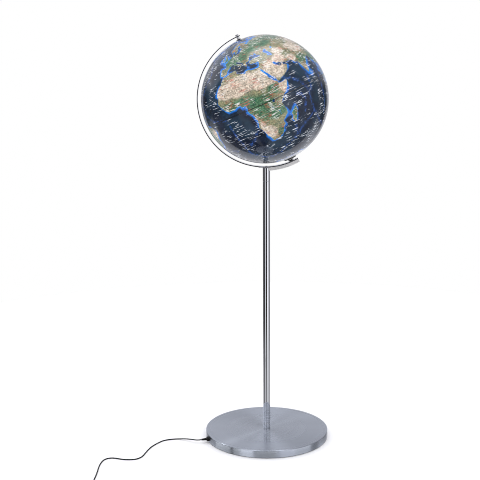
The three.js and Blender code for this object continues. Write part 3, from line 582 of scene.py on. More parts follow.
FINISHES = {                               # how each is made, and its constant values
    "chrome": (chrome, {"Metallic": 1.0}),
    "spun_steel": (spun_steel, {"Metallic": 1.0, "Anisotropic": 0.90, "Anisotropic_Rotation": 0.25}),
    "brushed_steel": (brushed_steel, {"Metallic": 0.6}),
    "zinc_steel": (zinc, {"Metallic": 1.0}),
    "cast_iron": (cast_iron, {"Metallic": 0.6}),
    "brass": (plain(rgb(0.72, 0.52, 0.22), rgb(0.52, 0.36, 0.16), 120.0,
                    (200.0, 0.25, 0.4), (500.0, 3.0, 0.08, 0.0002)), {"Metallic": 1.0}),
    "black_plastic": (plain(rgb(0.010, 0.010, 0.011), rgb(0.020, 0.020, 0.022), 45.0,
                            (60.0, 0.32, 0.48), (1400.0, 2.0, 0.12, 0.0001)), {}),
    "black_rubber": (black_rubber, {"Specular_IOR_Level": 0.3}),
    "white_plastic": (plain(rgb(0.80, 0.79, 0.76), rgb(0.72, 0.70, 0.65), 40.0,
                            (80.0, 0.35, 0.5), (900.0, 3.0, 0.08, 0.0001)), {}),
    "opal_plastic": (plain(rgb(0.88, 0.87, 0.83), rgb(0.82, 0.80, 0.74), 50.0,
                           (70.0, 0.42, 0.58), (700.0, 3.0, 0.05, 0.0001)), {}),
    "map_skin": (map_skin, {"Coat_Weight": 1.0, "Coat_Roughness": 0.03, "Coat_IOR": 1.5,
                            "Specular_IOR_Level": 0.15}),
}
MATERIALS = {name: material(name, build, **constants)
             for name, (build, constants) in FINISHES.items()}


def dress(obj, slot, *nodes, look=None):
    """Gives a piece the material named by its slot, or by look, and hides the CAD nodes it stands for.
    """
    obj.data.materials.clear()
    obj.data.materials.append(MATERIALS[look or slot])
    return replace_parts(obj, *nodes) if nodes else obj


# ---------------------------------------------------------------- the globe's map

# Coasts, as longitude and latitude in degrees.
COASTS = """
-6,35.8 -2,35.1 3,36.9 10,37.3 11,35 10.2,34 15,32.3 19,30.3 20,32.7 23,32.6 25,31.6 29,30.9
32.5,31.2 32.6,29.9 34,26.6 35.6,23.9 37.2,21 37.4,18.8 39.4,15.7 43,12.6 43.3,11.5 45,10.5
51.2,11.8 50.8,9.5 48,4.5 46,2.4 43.5,0.2 41.5,-1.8 39.5,-4.4 39,-6.5 40.6,-10.8 40.7,-15 36.5,-18.8
34.8,-20 35.5,-23.8 32.8,-26 32,-28.8 29,-32.5 25.8,-34 20,-34.8 18.4,-34.1 17.8,-31 15.7,-27.8
14.5,-22.7 11.8,-17.5 13.6,-12.3 12.2,-6 9.2,-1.5 9.6,2.3 8.7,4.5 6,4.3 4.3,6.3 1,5.9 -2,4.8
-7.6,4.4 -11,6.8 -13.3,9 -15,11 -16.8,13.4 -17.5,14.7 -16.3,17 -16.3,20 -17,21 -15,25.5 -13,27.8
-10,29.7 -9.6,31.5 -6.8,34 / -5.5,36 -9,37 -9.4,39 -8.8,43.2 -1.8,43.4 -1.2,46 -4.6,48.3 -1.6,48.7
1.6,50.9 4.5,52.5 8.2,53.8 8.2,57 10.6,57.6 10,55 11,54 14.3,53.9 19,54.5 21,57.4 24,57.3 23.5,59.3
30,60 22.5,60 21.4,61.5 25.3,65 22,65.8 17.3,61.5 18.8,60 16.5,57 14.3,55.5 12.8,55.6 11,59 7,58
5,61.5 10,64 14,68 19,70 26,71 31,70 41,67.5 38,66.4 34.5,66.5 35,64.3 38,64 40,64.7 40.5,66.4
44,66.2 44,68.4 54,68.3 60,69.7 68,68.4 67,72.5 73,72.8 73,68 77,72 81,73.5 87,75 98,76.2 105,77.6
113,75.8 110,73.9 127,73.4 130,71 140,72.6 152,71 160,69.8 170,69.3 180,68.8 190,66.2 187,64.4
180,65 177,62.5 170,60 163.5,58 162,56 156.8,51 155.7,56 162,60 164,62.5 156.6,61.6 154,59.4
142,59.3 135.3,54.8 140,53 140.5,48 135,43.5 130.7,42.3 127.5,39.8 129.4,37 129,35.2 126.3,34.5
126.5,37.5 124.5,39.9 121.5,39 121,40.8 117.8,39 119,37.2 122.5,37 119.3,35 121.8,31.5 121.8,29
118.5,24.6 114.3,22.4 110.3,20.5 108,21.5 105.8,18.8 109,13 107,10.4 104.8,8.7 105,10.3 102.3,12.2
100.4,13.5 99.2,10.5 100.4,7 103.3,4 103.8,1.4 101.3,2.9 98.3,8 98.6,12 97.6,16.5 94.4,16 94.2,18.6
91.8,22.5 88.5,21.7 86.7,20.6 82.3,16.7 80.2,15.2 80.2,12 79.7,10.3 77.6,8.1 76.3,9.9 74.3,14.5
72.8,19 72.6,21.4 70.3,20.9 69,22.3 67.2,24.8 61.6,25.1 57.3,25.7 56.5,27.1 51.5,27.9 50,30 48,30
48.3,28.4 50,26.5 51.5,25.5 51.6,24.2 54,24.1 56.3,26.2 56.6,24.4 59.8,22.5 57.7,18.9 55,17
52.2,15.7 45,12.8 43.4,12.7 42.7,16.5 39.1,21.3 37.2,24.6 35,28 34.9,29.5 34.3,27.8 32.6,29.9
32.6,31.2 34.2,31.3 35.9,35.5 36.1,36.7 32,36.1 30.5,36.5 27.3,36.8 26.3,39.5 29,41.1 31.3,41.2
35,42 38.5,41 41.5,41.5 38,44.4 37,46.5 39,47.2 35,46.2 36.5,45.4 33.6,44.5 32.8,46 30.8,46.5
28.6,44 27.8,42.5 28.9,41.2 26.2,40.7 23.8,40.3 22.8,39.5 24,38 23,36.5 21.5,37.2 20,39.6 19.5,41.8
15.5,43.8 13.7,45.2 12.3,45.3 12.5,44 14,42.5 16,41.8 18.4,40.2 17,40.5 16.6,38.3 15.7,38 15.8,40
13,41.2 10.4,43 8.8,44.4 6,43.1 3.3,43.3 3,41.8 0.3,40.2 -0.5,38.5 -2,36.8 / -168,65.6 -162,66
-166,68.5 -156.5,71.3 -141,69.7 -128,70.3 -115,68.5 -108,68 -95,68.5 -95,72 -90,69 -85,69.8 -81.5,69
-81.3,67.5 -87,66.5 -87,64 -94,61 -94.7,58.8 -92.5,57 -85,55.3 -82.3,53 -80,51.3 -79,54.5 -77,57
-78.5,60 -77.5,62.5 -72,61.8 -69.5,59 -64.5,60.3 -61.5,56.5 -56,52.5 -60,50.2 -66.5,50.2 -71,47
-65,49 -64.5,46.2 -61,45.5 -65.8,43.6 -67,44.8 -70,43.7 -70.5,41.8 -74,40.6 -75.8,37.5 -76,35 -81,32
-81.3,30 -80.2,27 -80.4,25.3 -81.8,26 -82.7,28 -84,30 -89.5,30.2 -90,29.2 -94.5,29.5 -97.3,27.5
-97.8,22.5 -95.8,18.8 -94.5,18.2 -91,18.7 -90.3,21 -87,21.5 -88.2,18 -88.5,15.8 -83.3,15 -83.7,11
-81.5,8.9 -79.5,9.5 -77.4,8.7 -78.5,8.2 -80,7.4 -83,8.3 -85.8,10.2 -87.7,12.9 -92,14.3 -94.5,16.2
-96.5,15.7 -101.5,17.6 -105.5,20 -105.5,22.7 -109,26 -112.5,30 -114.7,31.7 -112,27.5 -109.5,23.2
-112.2,25 -115,28 -117.2,32.8 -120.6,34.6 -122.5,37.5 -124.3,40.3 -124,46.3 -124.6,48.3 -122.5,48
-127.5,51 -130.3,54.5 -134,58 -139.8,59.7 -148,60 -151.8,59.2 -151,61.2 -154,59 -158.4,56.2
-164.5,54.5 -158,58.5 -162,59 -165.5,61.8 -161,64 -166,64.6 / -73,78.2 -60,82 -40,83.3 -20,82 -18,77
-22,72 -25,70.3 -33,67.8 -40,65 -43,60 -48,61 -53.5,66 -51,69.5 -55.5,72 -58,75.3 -67,76 / -77.4,8.7
-75.5,10.7 -72,12 -71,11 -68,11.5 -62,10.7 -60,8.5 -57,6 -52,4.7 -50,0.5 -48,-1 -44,-2.5 -40,-2.9
-35.3,-5.3 -34.9,-8 -37.2,-11.5 -39,-13.5 -39.2,-17.7 -41,-22 -44.5,-23 -48.5,-26 -48.7,-28.5
-52,-32.8 -54.5,-34.8 -58,-34.3 -57,-36.5 -62,-39 -65,-41 -65.3,-45 -67.5,-46.5 -66,-48 -69,-51
-68.3,-53 -65.3,-54.8 -69,-55.3 -74,-52 -75.5,-48 -73.5,-42 -73.5,-38 -71.5,-33 -70.3,-25
-70.3,-18.3 -76,-14 -79,-8.5 -81.3,-5 -80,-3 -80.8,-1 -80,0.8 -77.5,3 -77.3,6.5 / 113.8,-22.5
114,-26.5 115.7,-32 115.2,-34.3 118,-35 123.5,-34 129,-31.7 133.5,-32.2 135.7,-34.8 138,-33
138.5,-35.5 140.5,-38 144,-38.5 146.3,-39 150,-37.4 151.3,-33.5 153,-30 153.2,-25.5 150.8,-23
146.3,-19 145.4,-15 142.6,-10.8 141.6,-13.5 140.8,-17.5 139,-17.3 135.5,-15 136.8,-12.2 132.6,-11.3
130.2,-13 129,-15 125.5,-14.2 122.3,-17.8 119,-20 / -180,-78 -160,-78 -150,-76 -130,-74 -100,-73
-80,-73 -65,-68 -57,-63.3 -62,-70 -60,-75 -45,-78 -30,-77 -15,-72 0,-70 20,-70 40,-69 55,-66.5
70,-69 85,-66.6 110,-66 135,-66.3 150,-68.5 168,-72 165,-78 180,-78 180,-90 -180,-90 / 49.3,-12
50.4,-15.8 47.2,-25 45,-25.5 43.4,-22 44.4,-20 44,-17 / -5.5,50.1 1,51 1.5,52.6 -0.5,54.5 -2,57.6
-5,58.6 -6,56.5 -3,54.8 -4.7,53 -5,51.8 / -6.2,52.3 -9.8,51.6 -9.8,54 -8,55.2 -5.7,54.5 / -22.5,64
-18.5,63.5 -13.8,65 -16,66.4 -22.5,66.3 -24,65 / 12,79.5 17,76.7 24,78.5 20,80.3 / 52,71 57,70.7
58,73.5 68,76.7 60,75.8 54,73.2 / 80,9.5 81.8,7.5 80.5,6 79.8,7.8 / 95.4,5.6 98.7,3.7 103.5,-0.5
106,-3 105.7,-5.8 102,-4 98.7,1.7 / 105.3,-6.7 108.5,-6.6 114.4,-7.7 114.3,-8.6 106.5,-7.4 / 109,1.5
111.3,2.5 113,3.3 116.7,7 119,5 117.7,2 117.5,0.5 116,-4 110.3,-3 / 119.5,-0.5 120.8,1.2 125,1.5
120.3,0.4 121,-1 123.3,-1 121.5,-2 122.8,-4.5 121.5,-4.5 120.4,-3 120.4,-5.5 119.5,-5.3 / 131,-0.8
134,-0.8 135,-3.3 138,-1.7 144.5,-3.9 147.8,-6.2 150.7,-10.4 147,-9.5 144,-7.7 138.5,-8.3 138,-5.5
132.8,-4 133.8,-2.3 / 120.3,16 120.7,18.5 122.2,18.4 121.6,15 124,12.8 120.6,13.8 / 122,7 123.5,8.6
125.5,9.8 126.5,7.5 125.5,5.7 / 130,33.3 132.5,35.5 136.8,37.4 139,38 140,40.5 141.3,41.4 142,39.5
140.8,35.7 136.8,34.3 132,33.7 131.3,31.4 130.2,31.3 / 140,42 141.8,45.4 145.3,43.3 143.2,42 /
142.3,46 143.6,49.3 143,54.2 142,51 / 120.2,23 121.5,25.2 120.9,22 / 108.7,19.2 110.9,20 109.6,18.2
/ 172.7,-34.5 175.5,-36.7 178.4,-37.7 175.3,-41.6 174,-39 / 172.7,-40.6 174.2,-41.7 171,-44.8
168.5,-46.6 166.6,-45.9 171.2,-42.3 / 144.8,-40.8 148.3,-41 146.8,-43.6 145.5,-42.8 / -84.8,21.9
-82.5,23.1 -77,21.8 -74.3,20.2 -77.6,19.9 / -74.3,18.4 -72.7,19.9 -68.5,18.6 -71.5,17.7 / -89,73
-80,73.7 -68,70 -61.5,66.7 -65,62 -72,63.5 -73,67.5 -78,69.8 / -117,70 -112,73 -105,72.5 -102,69.5
-113,68.5 / -90,77 -85,81.5 -65,82.8 -75,79 -80,76.5 / -59.3,47.7 -55.6,51.5 -53,47 / 12.5,38
15.5,38.2 15.1,36.7 / 8.3,41 9.7,41 9.4,39.2 8.5,39 / 8.7,42.7 9.5,43 9.2,41.5 / 23.6,35.4 26.2,35.2
24,35 / 32.4,35 34.4,35.6 33.5,34.7
"""
# Inland seas and lakes, drawn the same way.
LAKES = """
47,44.5 51,46.9 53,45.3 51,44.5 52.7,42 53.8,39 53.8,37 50.5,37.2 49,38.4 49.5,40.4 47.5,43 / 31.8,0
33.5,0.3 34,-1.5 32.5,-2.6 / 29.2,-3.5 30.2,-5 31,-8.6 30,-6.5 / 34.1,-9.7 34.8,-11 34.9,-14
34.3,-12 / -92,46.8 -88,48.8 -84.6,46.5 -88,46.8 / -87.8,42 -86.2,42 -85.5,45.5 -87.5,45 / -84,44
-82.3,43.3 -80.5,44.6 -83.5,45.8 / 104,51.6 109,54.5 109.8,55.7 106,53 / 58.5,44 61,44.5 60.5,46.5
58.8,45.5 / -125,66 -120,65.5 -119,66.8 -123,67
"""
# Ridges of the sea floor, as open lines.
RIDGES = """
-18,62 -34,57 -30,50 -28,43 -36,34 -45,26 -46,18 -40,8 -30,1 -14,-1 -13,-15 -13,-28 -15,-40 -5,-51
5,-54 20,-52 30,-46 42,-41 52,-34 62,-28 70,-25 67,-14 68,-4 62,5 57,10 50,13 / 70,-25 78,-36 92,-43
112,-50 140,-54 160,-60 / 9,-20 2,-26 -6,-31 / 89,8 88.5,-8 88,-22 87,-31 / 73,10 72.5,2 72,-6 /
61,-10 60.5,-14 57.5,-20 / 45,-28 45,-36 43,-42 / 55,-4 58,-5 61,-9 / -105,20 -104,5 -107,-12
-113,-28 -111,-42 -118,-55 -140,-60 / -178,-20 -176,-30 / 168,50 172,40 170,32 180,28 -158,20 /
142,30 145,20 142,12 / 158,-25 160,-35 / 93,14 92,6 95,2 100,-5 106,-9 118,-11 / -35,-30 -28,-32 /
-90,1 -82,-3
"""
# Climate patches: longitude, latitude and their half widths in degrees.
ARID = """
10,22.5,30,8.5 46,24,11,9 56,31,8,5 62,39,7,4 84,39,10,3.5 103,43,12,5 70,27,5,4 20,-25,6,6
16,-22,3,8 47,7,5,5 132,-25,14,7 -111,34,8,8 -104,27,5,6 -69,-22,3,8 -68,-44,4,7 88,34,12,4
-40,-9,4,4 33,15,12,3
"""
LUSH = """
20,0,15,8 -4,8,14,4 10,6,10,6 30,-10,12,5 37,9,5,5 -60,-5,14,10 -50,-18,10,10 102,18,10,10
113,-1,16,8 82,22,8,5 12,50,18,8 45,57,30,8 90,60,40,6 110,28,10,7 128,45,10,8 -82,38,11,9
-95,54,35,7 -125,50,5,10 -90,16,6,4 141,-5,8,4 148,-30,4,9 174,-41,4,6 138,36,5,5 47.5,-18,2,7
30,-30,4,5 -66,6,8,5
"""


def outlines(text):
    return [np.radians([[float(x) for x in point.split(",")] for point in part.split()])
            for part in text.split("/")]


def on_ball(lonlat):
    lon, lat = lonlat[..., 0], lonlat[..., 1]
    return np.stack([np.cos(lat) * np.cos(lon), np.cos(lat) * np.sin(lon), np.sin(lat)], -1)


def distance_to(lines, points, closed):
    """Distance in degrees from each point on the unit ball to the nearest of the lines."""
    best = np.full(len(points), 9.0)
    for line in lines:
        ends = np.roll(line, -1, axis=0) if closed else line[1:]
        starts = line if closed else line[:-1]
        for a, b in zip(on_ball(starts), on_ball(ends)):
            along = b - a
            t = np.clip((points - a) @ along / max(along @ along, 1e-12), 0, 1)
            best = np.minimum(best, np.linalg.norm(points - (a + t[:, None] * along), axis=1))
    return np.degrees(best)


def inside(lines, lonlat):
    """True where a point lies in one of the closed outlines, by counting crossings."""
    found = np.zeros(len(lonlat), bool)
    for shift in (0, 2 * math.pi, -2 * math.pi):
        lon, lat = lonlat[:, 0] + shift, lonlat[:, 1]
        for line in lines:
            crossed = np.zeros(len(lonlat), bool)
            for a, b in zip(line, np.roll(line, -1, axis=0)):
                if a[1] == b[1]:
                    continue
                spans = (a[1] > lat) != (b[1] > lat)
                crossed ^= spans & (lon < a[0] + (lat - a[1]) * (b[0] - a[0]) / (b[1] - a[1]))
            found |= crossed
    return found


def patches(text, lonlat):
    """The strongest of the climate patches at each point, 0 to 1."""
    degrees = np.degrees(lonlat)
    best = np.zeros(len(lonlat))
    for lon, lat, wide, high in ([float(x) for x in row.split(",")] for row in text.split()):
        off = (degrees[:, 0] - lon + 180) % 360 - 180
        reach = (off / wide) ** 2 + ((degrees[:, 1] - lat) / high) ** 2
        best = np.maximum(best, np.exp(-0.7 * reach ** 1.5))
    return best


MAP_TURN = math.radians(-115)                               # the map's zero meridian, from local +X


def paint_map(obj):
    """Stores the map on a shell's vertices: signed distance from the coast, climate, ridges, and the
    place on a unit ball turned with the axis."""
    upright = np.array(AXIS.inverted())
    places = np.array([v.co for v in obj.data.vertices]) @ upright[:3, :3].T + upright[:3, 3]
    places /= np.linalg.norm(places, axis=1)[:, None]
    azimuth = np.arctan2(places[:, 1], places[:, 0]) - MAP_TURN
    lonlat = np.stack([(azimuth + math.pi) % (2 * math.pi) - math.pi,
                       np.arcsin(np.clip(places[:, 2], -1, 1))], 1)
    turned = on_ball(lonlat)
    coasts, lakes = outlines(COASTS), outlines(LAKES)
    land = np.where(inside(coasts, lonlat), 1, -1) * distance_to(coasts, turned, True)
    lake = np.where(inside(lakes, lonlat), -1, 1) * distance_to(lakes, turned, True)
    latitude = np.degrees(lonlat[:, 1])
    greenland = patches("-42,73,20,9", lonlat) * 1.4
    values = {
        "land": np.minimum(land, np.maximum(lake, -3)),
        "ridge": np.minimum(distance_to(outlines(RIDGES), turned, False), 40),
        "arid": patches(ARID, lonlat),
        "lush": patches(LUSH, lonlat),
        "ice": np.clip(np.maximum((latitude - 70) / 10, (-latitude - 60) / 6), 0, 1) + greenland,
    }
    for name, value in values.items():
        attribute = obj.data.attributes.new(name, "FLOAT", "POINT")
        attribute.data.foreach_set("value", value.astype(np.float32))
    ball = obj.data.attributes.new("ball", "FLOAT_VECTOR", "POINT")
    ball.data.foreach_set("vector", places.astype(np.float32).ravel())


def make_shell(name, node, hole, side):
    """Half of the globe, from the equator seam to its pole hole, with its wall."""
    bands, sides = ((120, 480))
    first, last = math.asin(SEAM / 2 / GLOBE_RADIUS), math.acos(hole / GLOBE_RADIUS)
    inner = GLOBE_RADIUS - GLOBE_WALL
    outer_arc = [(GLOBE_RADIUS * math.cos(a), GLOBE_RADIUS * math.sin(a))
                 for a in np.linspace(first, last, bands + 1)]
    inner_arc = [(inner * math.cos(a), inner * math.sin(a))
                 for a in np.linspace(math.asin(SEAM / 2 / inner), math.acos(hole / inner), 13)]
    profile = outer_arc + inner_arc[::-1]
    profile = [(r, side * z) for r, z in (profile if side > 0 else profile[::-1])]
    shell = lathe(name, profile, AXIS, "globe", sides, sharp=60.0)
    paint_map(shell)
    return dress(shell, "map_skin", node)


make_shell("shell_north", "globe_north", NORTH_HOLE, 1)
make_shell("shell_south", "globe_south", SOUTH_HOLE, -1)


# ---------------------------------------------------------------- base

def make_base():
    wall, rim, bore = 1.5 * MM, 2.2 * MM, 9.4 * MM
    inside_radius, ceiling = BASE_RADIUS - wall, BASE_TOP - wall
    cover = lathe("cover", fillet([
        (inside_radius, 2 * MM), (BASE_RADIUS, 2 * MM, 0.4 * MM), (BASE_RADIUS, BASE_TOP, rim),
        (bore, BASE_TOP), (bore, ceiling), (inside_radius, ceiling, 0.8 * MM),
    ], 6), sides=288)
    carve(cover, rod("hole", 5.7 * MM, 190 * MM, 210 * MM, GLAND))
    dress(cover, "brushed_steel", "base_cover", look="spun_steel")

    pad = lathe("pad", fillet(mm((0, 0), (194, 0, 0.4), (194, 1.5, 0.4), (0, 1.5))), sides=192)
    dress(pad, "black_rubber", "base_pad")

    ribs = []
    for k in range(7):                     # ribbed bend protection, tapering onto the lead
        start, radius = 208.6 + 2.4 * k, 4.5 - 0.25 * k
        root = radius - 0.75
        ribs += [(radius, start), (radius, start + 1.5), (root, start + 1.7), (root, start + 2.2)]
    tip = GLAND_TIP / MM
    profile = mm((2.4, 191), (5.2, 191), (5.2, 201.3), (7.8, 201.3), (7.8, 205.9), (7.3, 206.9),
                 (6.2, 207.6), (4.6, 208.0), *ribs, (2.7, tip), (2.0, tip))
    dress(lathe("gland", profile, GLAND, sides=48), "black_rubber", "cord_gland")


# ---------------------------------------------------------------- post

def make_post():
    radius, bore, spigot, head_radius, lead_bore = 11.5, 10.4, 10.0, 11.7, 3.7
    foot = lathe("foot", fillet(mm(
        (6, 9.4), (9, 9.4, 0.5), (9, 25.8), (radius, 25.8, 0.3), (radius, 44, 0.35), (spigot, 44),
        (spigot, 80, 0.5), (6, 80))))
    tube = lathe("tube", fillet(mm(
        (bore, 44.3), (radius, 44.3, 0.35), (radius, 851.4, 0.35), (bore, 851.4))))
    head = lathe("head", fillet(mm(
        (lead_bore, 815), (spigot, 815, 0.5), (spigot, 851.7), (head_radius, 851.7, 0.35),
        (head_radius, 893.8, 0.6), (0, 893.8), (0, 891.8), (lead_bore, 891.8))))
    window = Matrix.Translation((0, 0, 888.6 * MM)) @ Matrix.Rotation(math.pi / 2, 4, "Y")
    holes = [rod("hole", 2 * MM, 882 * MM, 895 * MM, Matrix.Translation((0, y, 0)))
             for y in (-STRIP_SCREW_Y, STRIP_SCREW_Y)]
    carve(head, rod("hole", 3.2 * MM, 0, 14 * MM, window), *holes)
    for piece, node in ((foot, "post_foot"), (tube, "post_tube"), (head, "post_head")):
        dress(piece, "chrome", node)


# ---------------------------------------------------------------- meridian strip and duct

def on_strip(degrees, distance):
    """A place under the strip: +Z points back at the globe's centre."""
    angle = math.radians(degrees)
    turn = Matrix.Rotation(-math.pi / 2 - angle, 4, "Y")
    return ARM @ Matrix.Translation((distance * math.cos(angle), 0, distance * math.sin(angle))) @ turn


def screw(name, node, head, shank, length, place):
    """A countersunk screw along -Z with a cross recess, its head's face at the origin."""
    profile = mm((0, -length), (shank * 0.6, -length), (shank, -length + 0.8), (shank, -2.1),
                 (head, -0.35), (head - 0.1, -0.15), (0, -0.15))
    body = lathe(name, profile, place, sides=48)
    arm, half = head * 0.55 * MM, 0.34 * MM
    for x, y in ((arm, half), (half, arm)):
        carve(body, box("slot", (-x, -y, -1.3 * MM), (x, y, 0.4 * MM), place))
    return dress(body, "zinc_steel", node)


def countersink(head, shank, place):
    profile = mm((0, -6), (shank, -6), (shank, -2.3), (head, 0), (head, 1), (0, 1))
    return lathe("sink", profile, place, sides=48)


def make_strip():
    seat = -math.sqrt(STRIP_INNER ** 2 - POST_X ** 2)
    seats = [ARM @ Matrix.Translation((POST_X, y, seat)) for y in (-STRIP_SCREW_Y, STRIP_SCREW_Y)]
    duct_seat = on_strip(DUCT_SCREW_ANGLE, STRIP_INNER)
    strip = curved_bar("strip", STRIP_INNER, STRIP_OUTER, STRIP_START, STRIP_END, STRIP_WIDTH,
                       0.45 * MM, steps=240)
    carve(strip, rod("hole", 2.8 * MM, 200 * MM, 220 * MM, AXIS),
          rod("hole", 5.4 * MM, -220 * MM, -200 * MM, AXIS),
          *(countersink(4.2, 2.1, place) for place in seats), countersink(3.3, 1.7, duct_seat))
    dress(strip, "chrome", "meridian_strip")
    for i, place in enumerate(seats, 1):
        screw(f"head_screw_{i}", f"strip_screw_{i}", 3.7, 1.6, 15.5, place)
    screw("cover_screw", "duct_screw", 2.8, 1.3, 10.5, duct_seat)

    top = STRIP_OUTER + 0.3 * MM
    duct = curved_bar("duct", top, DUCT_OUTER, DUCT_START, STRIP_END, DUCT_WIDTH, 1.0 * MM, steps=60)
    hollow = curved_bar("hollow", STRIP_OUTER - 4 * MM, DUCT_OUTER - DUCT_WALL, DUCT_START - 2,
                        DUCT_SCREW_ANGLE - 1.1, DUCT_WIDTH - 2 * DUCT_WALL, 0.5 * MM, steps=60)
    well = rod("well", 12 * MM, -260 * MM, -214.15 * MM, ARM @ Matrix.Translation((POST_X, 0, 0)), 96)
    carve(duct, hollow, well)
    tongue = curved_bar("tongue", top, top + 1.2 * MM, 264.6, DUCT_START + 2,
                        DUCT_WIDTH - 2 * MM, 0.3 * MM, steps=30)
    carve(duct, tongue, operation="UNION")
    holes = [rod("hole", 2.1 * MM, -220 * MM, -205 * MM, ARM @ Matrix.Translation((POST_X, y, 0)))
             for y in (-STRIP_SCREW_Y, STRIP_SCREW_Y)]
    carve(duct, *holes, rod("hole", 1.7 * MM, -12 * MM, 4 * MM, duct_seat))
    dress(duct, "brushed_steel", "lead_duct")


# ---------------------------------------------------------------- pole fittings

def nut(name, node, slot, circumradius, bore, low, high):
    """A hexagon nut with its corners turned off at both ends."""
    corners = [k * math.pi / 3 for k in range(6)]
    body = loft(name, [[(circumradius * math.cos(a), circumradius * math.sin(a), z) for a in corners]
                       for z in (low, high)], AXIS)
    flat, full, off = circumradius * 0.9, circumradius * 1.02, circumradius * 0.09
    lens = lathe("lens", [(0, low), (flat, low), (full, low + off), (full, high - off),
                          (flat, high), (0, high)], AXIS)
    carve(body, lens, operation="INTERSECT")
    carve(body, rod("bore", bore, low - MM, high + MM, AXIS))
    return dress(body, slot, node)


def thread(low, high, root, crest, pitch):
    """A profile of ridges like a thread's, seen from the side."""
    count = max(1, int((high - low) / pitch))
    points = []
    for k in range(count):
        start = low + k * pitch
        points += [(root, start), (crest, start + pitch * 0.5)]
    return points + [(root, low + count * pitch)]


def make_fittings():
    def turned(name, node, slot, points, body="stand", **options):
        piece = lathe(name, fillet(mm(*points)), AXIS, body, **options)
        return dress(piece, slot, node)

    turned("pin", "north_pin", "chrome", [(0, 190), (2.5, 190, 0.5), (2.5, 216, 0.5), (0, 216)],
           sides=48)
    turned("spacer", "north_spacer", "chrome",
           [(2.8, 202.2), (4.5, 202.2, 0.4), (4.5, 209.3, 0.4), (2.8, 209.3)], sides=64)
    turned("cap_nut", "north_cap_nut", "chrome", [
        (2.8, 212.9), (4.5, 212.9), (4.8, 213.3), (4.8, 213.31), (4.8, 216.4), (4.8, 217.0, 0.3),
        (4.3, 218, 0.5), (0, 218.1), (0, 216.4), (2.8, 216.4)],
        sides=144, ripple=(36, 0.12 * MM, 213.3 * MM, 216.5 * MM))
    turned("bush", "north_bush", "black_plastic", [
        (2.9, 192), (5.6, 192, 0.4), (5.6, 200.3), (8, 200.3, 0.3), (8, 201.9, 0.7), (2.9, 201.9)],
        body="globe", sides=64)

    stem = [(3.2, -216.9), (4.7, -216.9), *thread(-216.4, -203.4, 4.72, 4.98, 0.65), (5, -203),
            (5, -84.5, 0.2), (5, -74, 0.5), (3.2, -74)]
    turned("stem", "south_stem", "chrome", stem, sides=64)
    nut("end_nut", "stem_nut", "zinc_steel", 8 * MM, 5.3 * MM, -216.5 * MM, -212.9 * MM)
    nut("lock_nut", "stem_locknut", "chrome", 8.6 * MM, 5.3 * MM, -209 * MM, -204.9 * MM)
    turned("slip_washer", "thrust_washer", "white_plastic",
           [(5.4, -204.6), (9, -204.6, 0.3), (9, -202.8, 0.3), (5.4, -202.8)], sides=64)
    turned("collar", "south_collar", "black_plastic", [
        (5.4, -202.4), (18.9, -202.4, 0.6), (20.5, -201.3, 0.5), (20.5, -199.7), (16.4, -199.7),
        (16.4, -190, 0.5), (5.4, -190)], body="globe")


# ---------------------------------------------------------------- cord switch, plug and coil tie

def rounded_outline(width, length, corner, steps=8):
    """outline(inset) of a round-cornered rectangle, long along Y."""
    def outline(inset):
        w, l, r = width / 2 - inset, length / 2 - inset, max(corner - inset, 0.2 * MM)
        points = []
        for k, (x, y) in enumerate(((w - r, l - r), (r - w, l - r), (r - w, r - l), (w - r, r - l))):
            for i in range(steps + 1):
                angle = (k + i / steps) * math.pi / 2
                points.append((x + r * math.cos(angle), y + r * math.sin(angle)))
        return points
    return outline


def make_switch():
    place = Matrix.Translation((SWITCH_X, SWITCH_Y, 0))
    outline = rounded_outline(SWITCH_WIDTH, SWITCH_LENGTH, 11 * MM)
    seam = 0.15 * MM
    base = ball_block("switch_lower", outline,
                      soft_levels(0, SWITCH_SPLIT - seam, 1.6 * MM)[:5]
                      + [(SWITCH_SPLIT - seam - 0.5 * MM, 0), (SWITCH_SPLIT - seam, 0.4 * MM)], place)
    cover = ball_block("switch_upper", outline,
                       [(SWITCH_SPLIT + seam, 0.4 * MM), (SWITCH_SPLIT + seam + 0.5 * MM, 0)]
                       + soft_levels(SWITCH_SPLIT, SWITCH_TOP, 3.2 * MM, 6)[7:], place)
    along = place @ Matrix.Translation((0, 0, SWITCH_SPLIT)) @ Matrix.Rotation(math.pi / 2, 4, "X")
    channel = rod("channel", CORD_RADIUS + 0.15 * MM, -40 * MM, 40 * MM, along)
    spare = channel.copy()
    spare.data = channel.data.copy()
    scene.collection.objects.link(spare)
    window = (-6.2 * MM, -10 * MM), (6.2 * MM, 10 * MM)
    carve(base, box("pocket", (*window[0], 6 * MM), (*window[1], 30 * MM), place), channel)
    carve(cover, box("window", (*window[0], 2 * MM), (*window[1], 30 * MM), place), spare)
    dress(base, "black_plastic", "switch_base")
    dress(cover, "black_plastic", "switch_cover")

    half = 5.7 * MM
    dish = [(9.2 * math.cos(a) * MM, (1.1 + 1.1 * math.cos(a) ** 2) * MM)
            for a in (math.pi * k / 24 for k in range(25))]
    side = [(9.0 * MM, -2.6 * MM), *dish, (-9.0 * MM, -2.6 * MM)]
    rings = []
    for x, inset in ((-half, 0.35), (-half + 0.35 * MM, 0), (half - 0.35 * MM, 0), (half, 0.35)):
        shrink = 1 - inset / 9
        rings.append([(x, y * shrink, z * shrink) for y, z in side])
    pivot = place @ Matrix.Translation((0, 0, 16.6 * MM)) @ Matrix.Rotation(math.radians(6), 4, "X")
    rocker = loft("rocker_key", rings, pivot, "rocker")
    carve(rocker, rod("dot", 1.1 * MM, 0, 0.5 * MM,
                      pivot @ Matrix.Translation((0, 6.5 * MM, 1.45 * MM)), 32))
    dress(rocker, "black_plastic", "switch_rocker")
    return [base, cover, rocker]


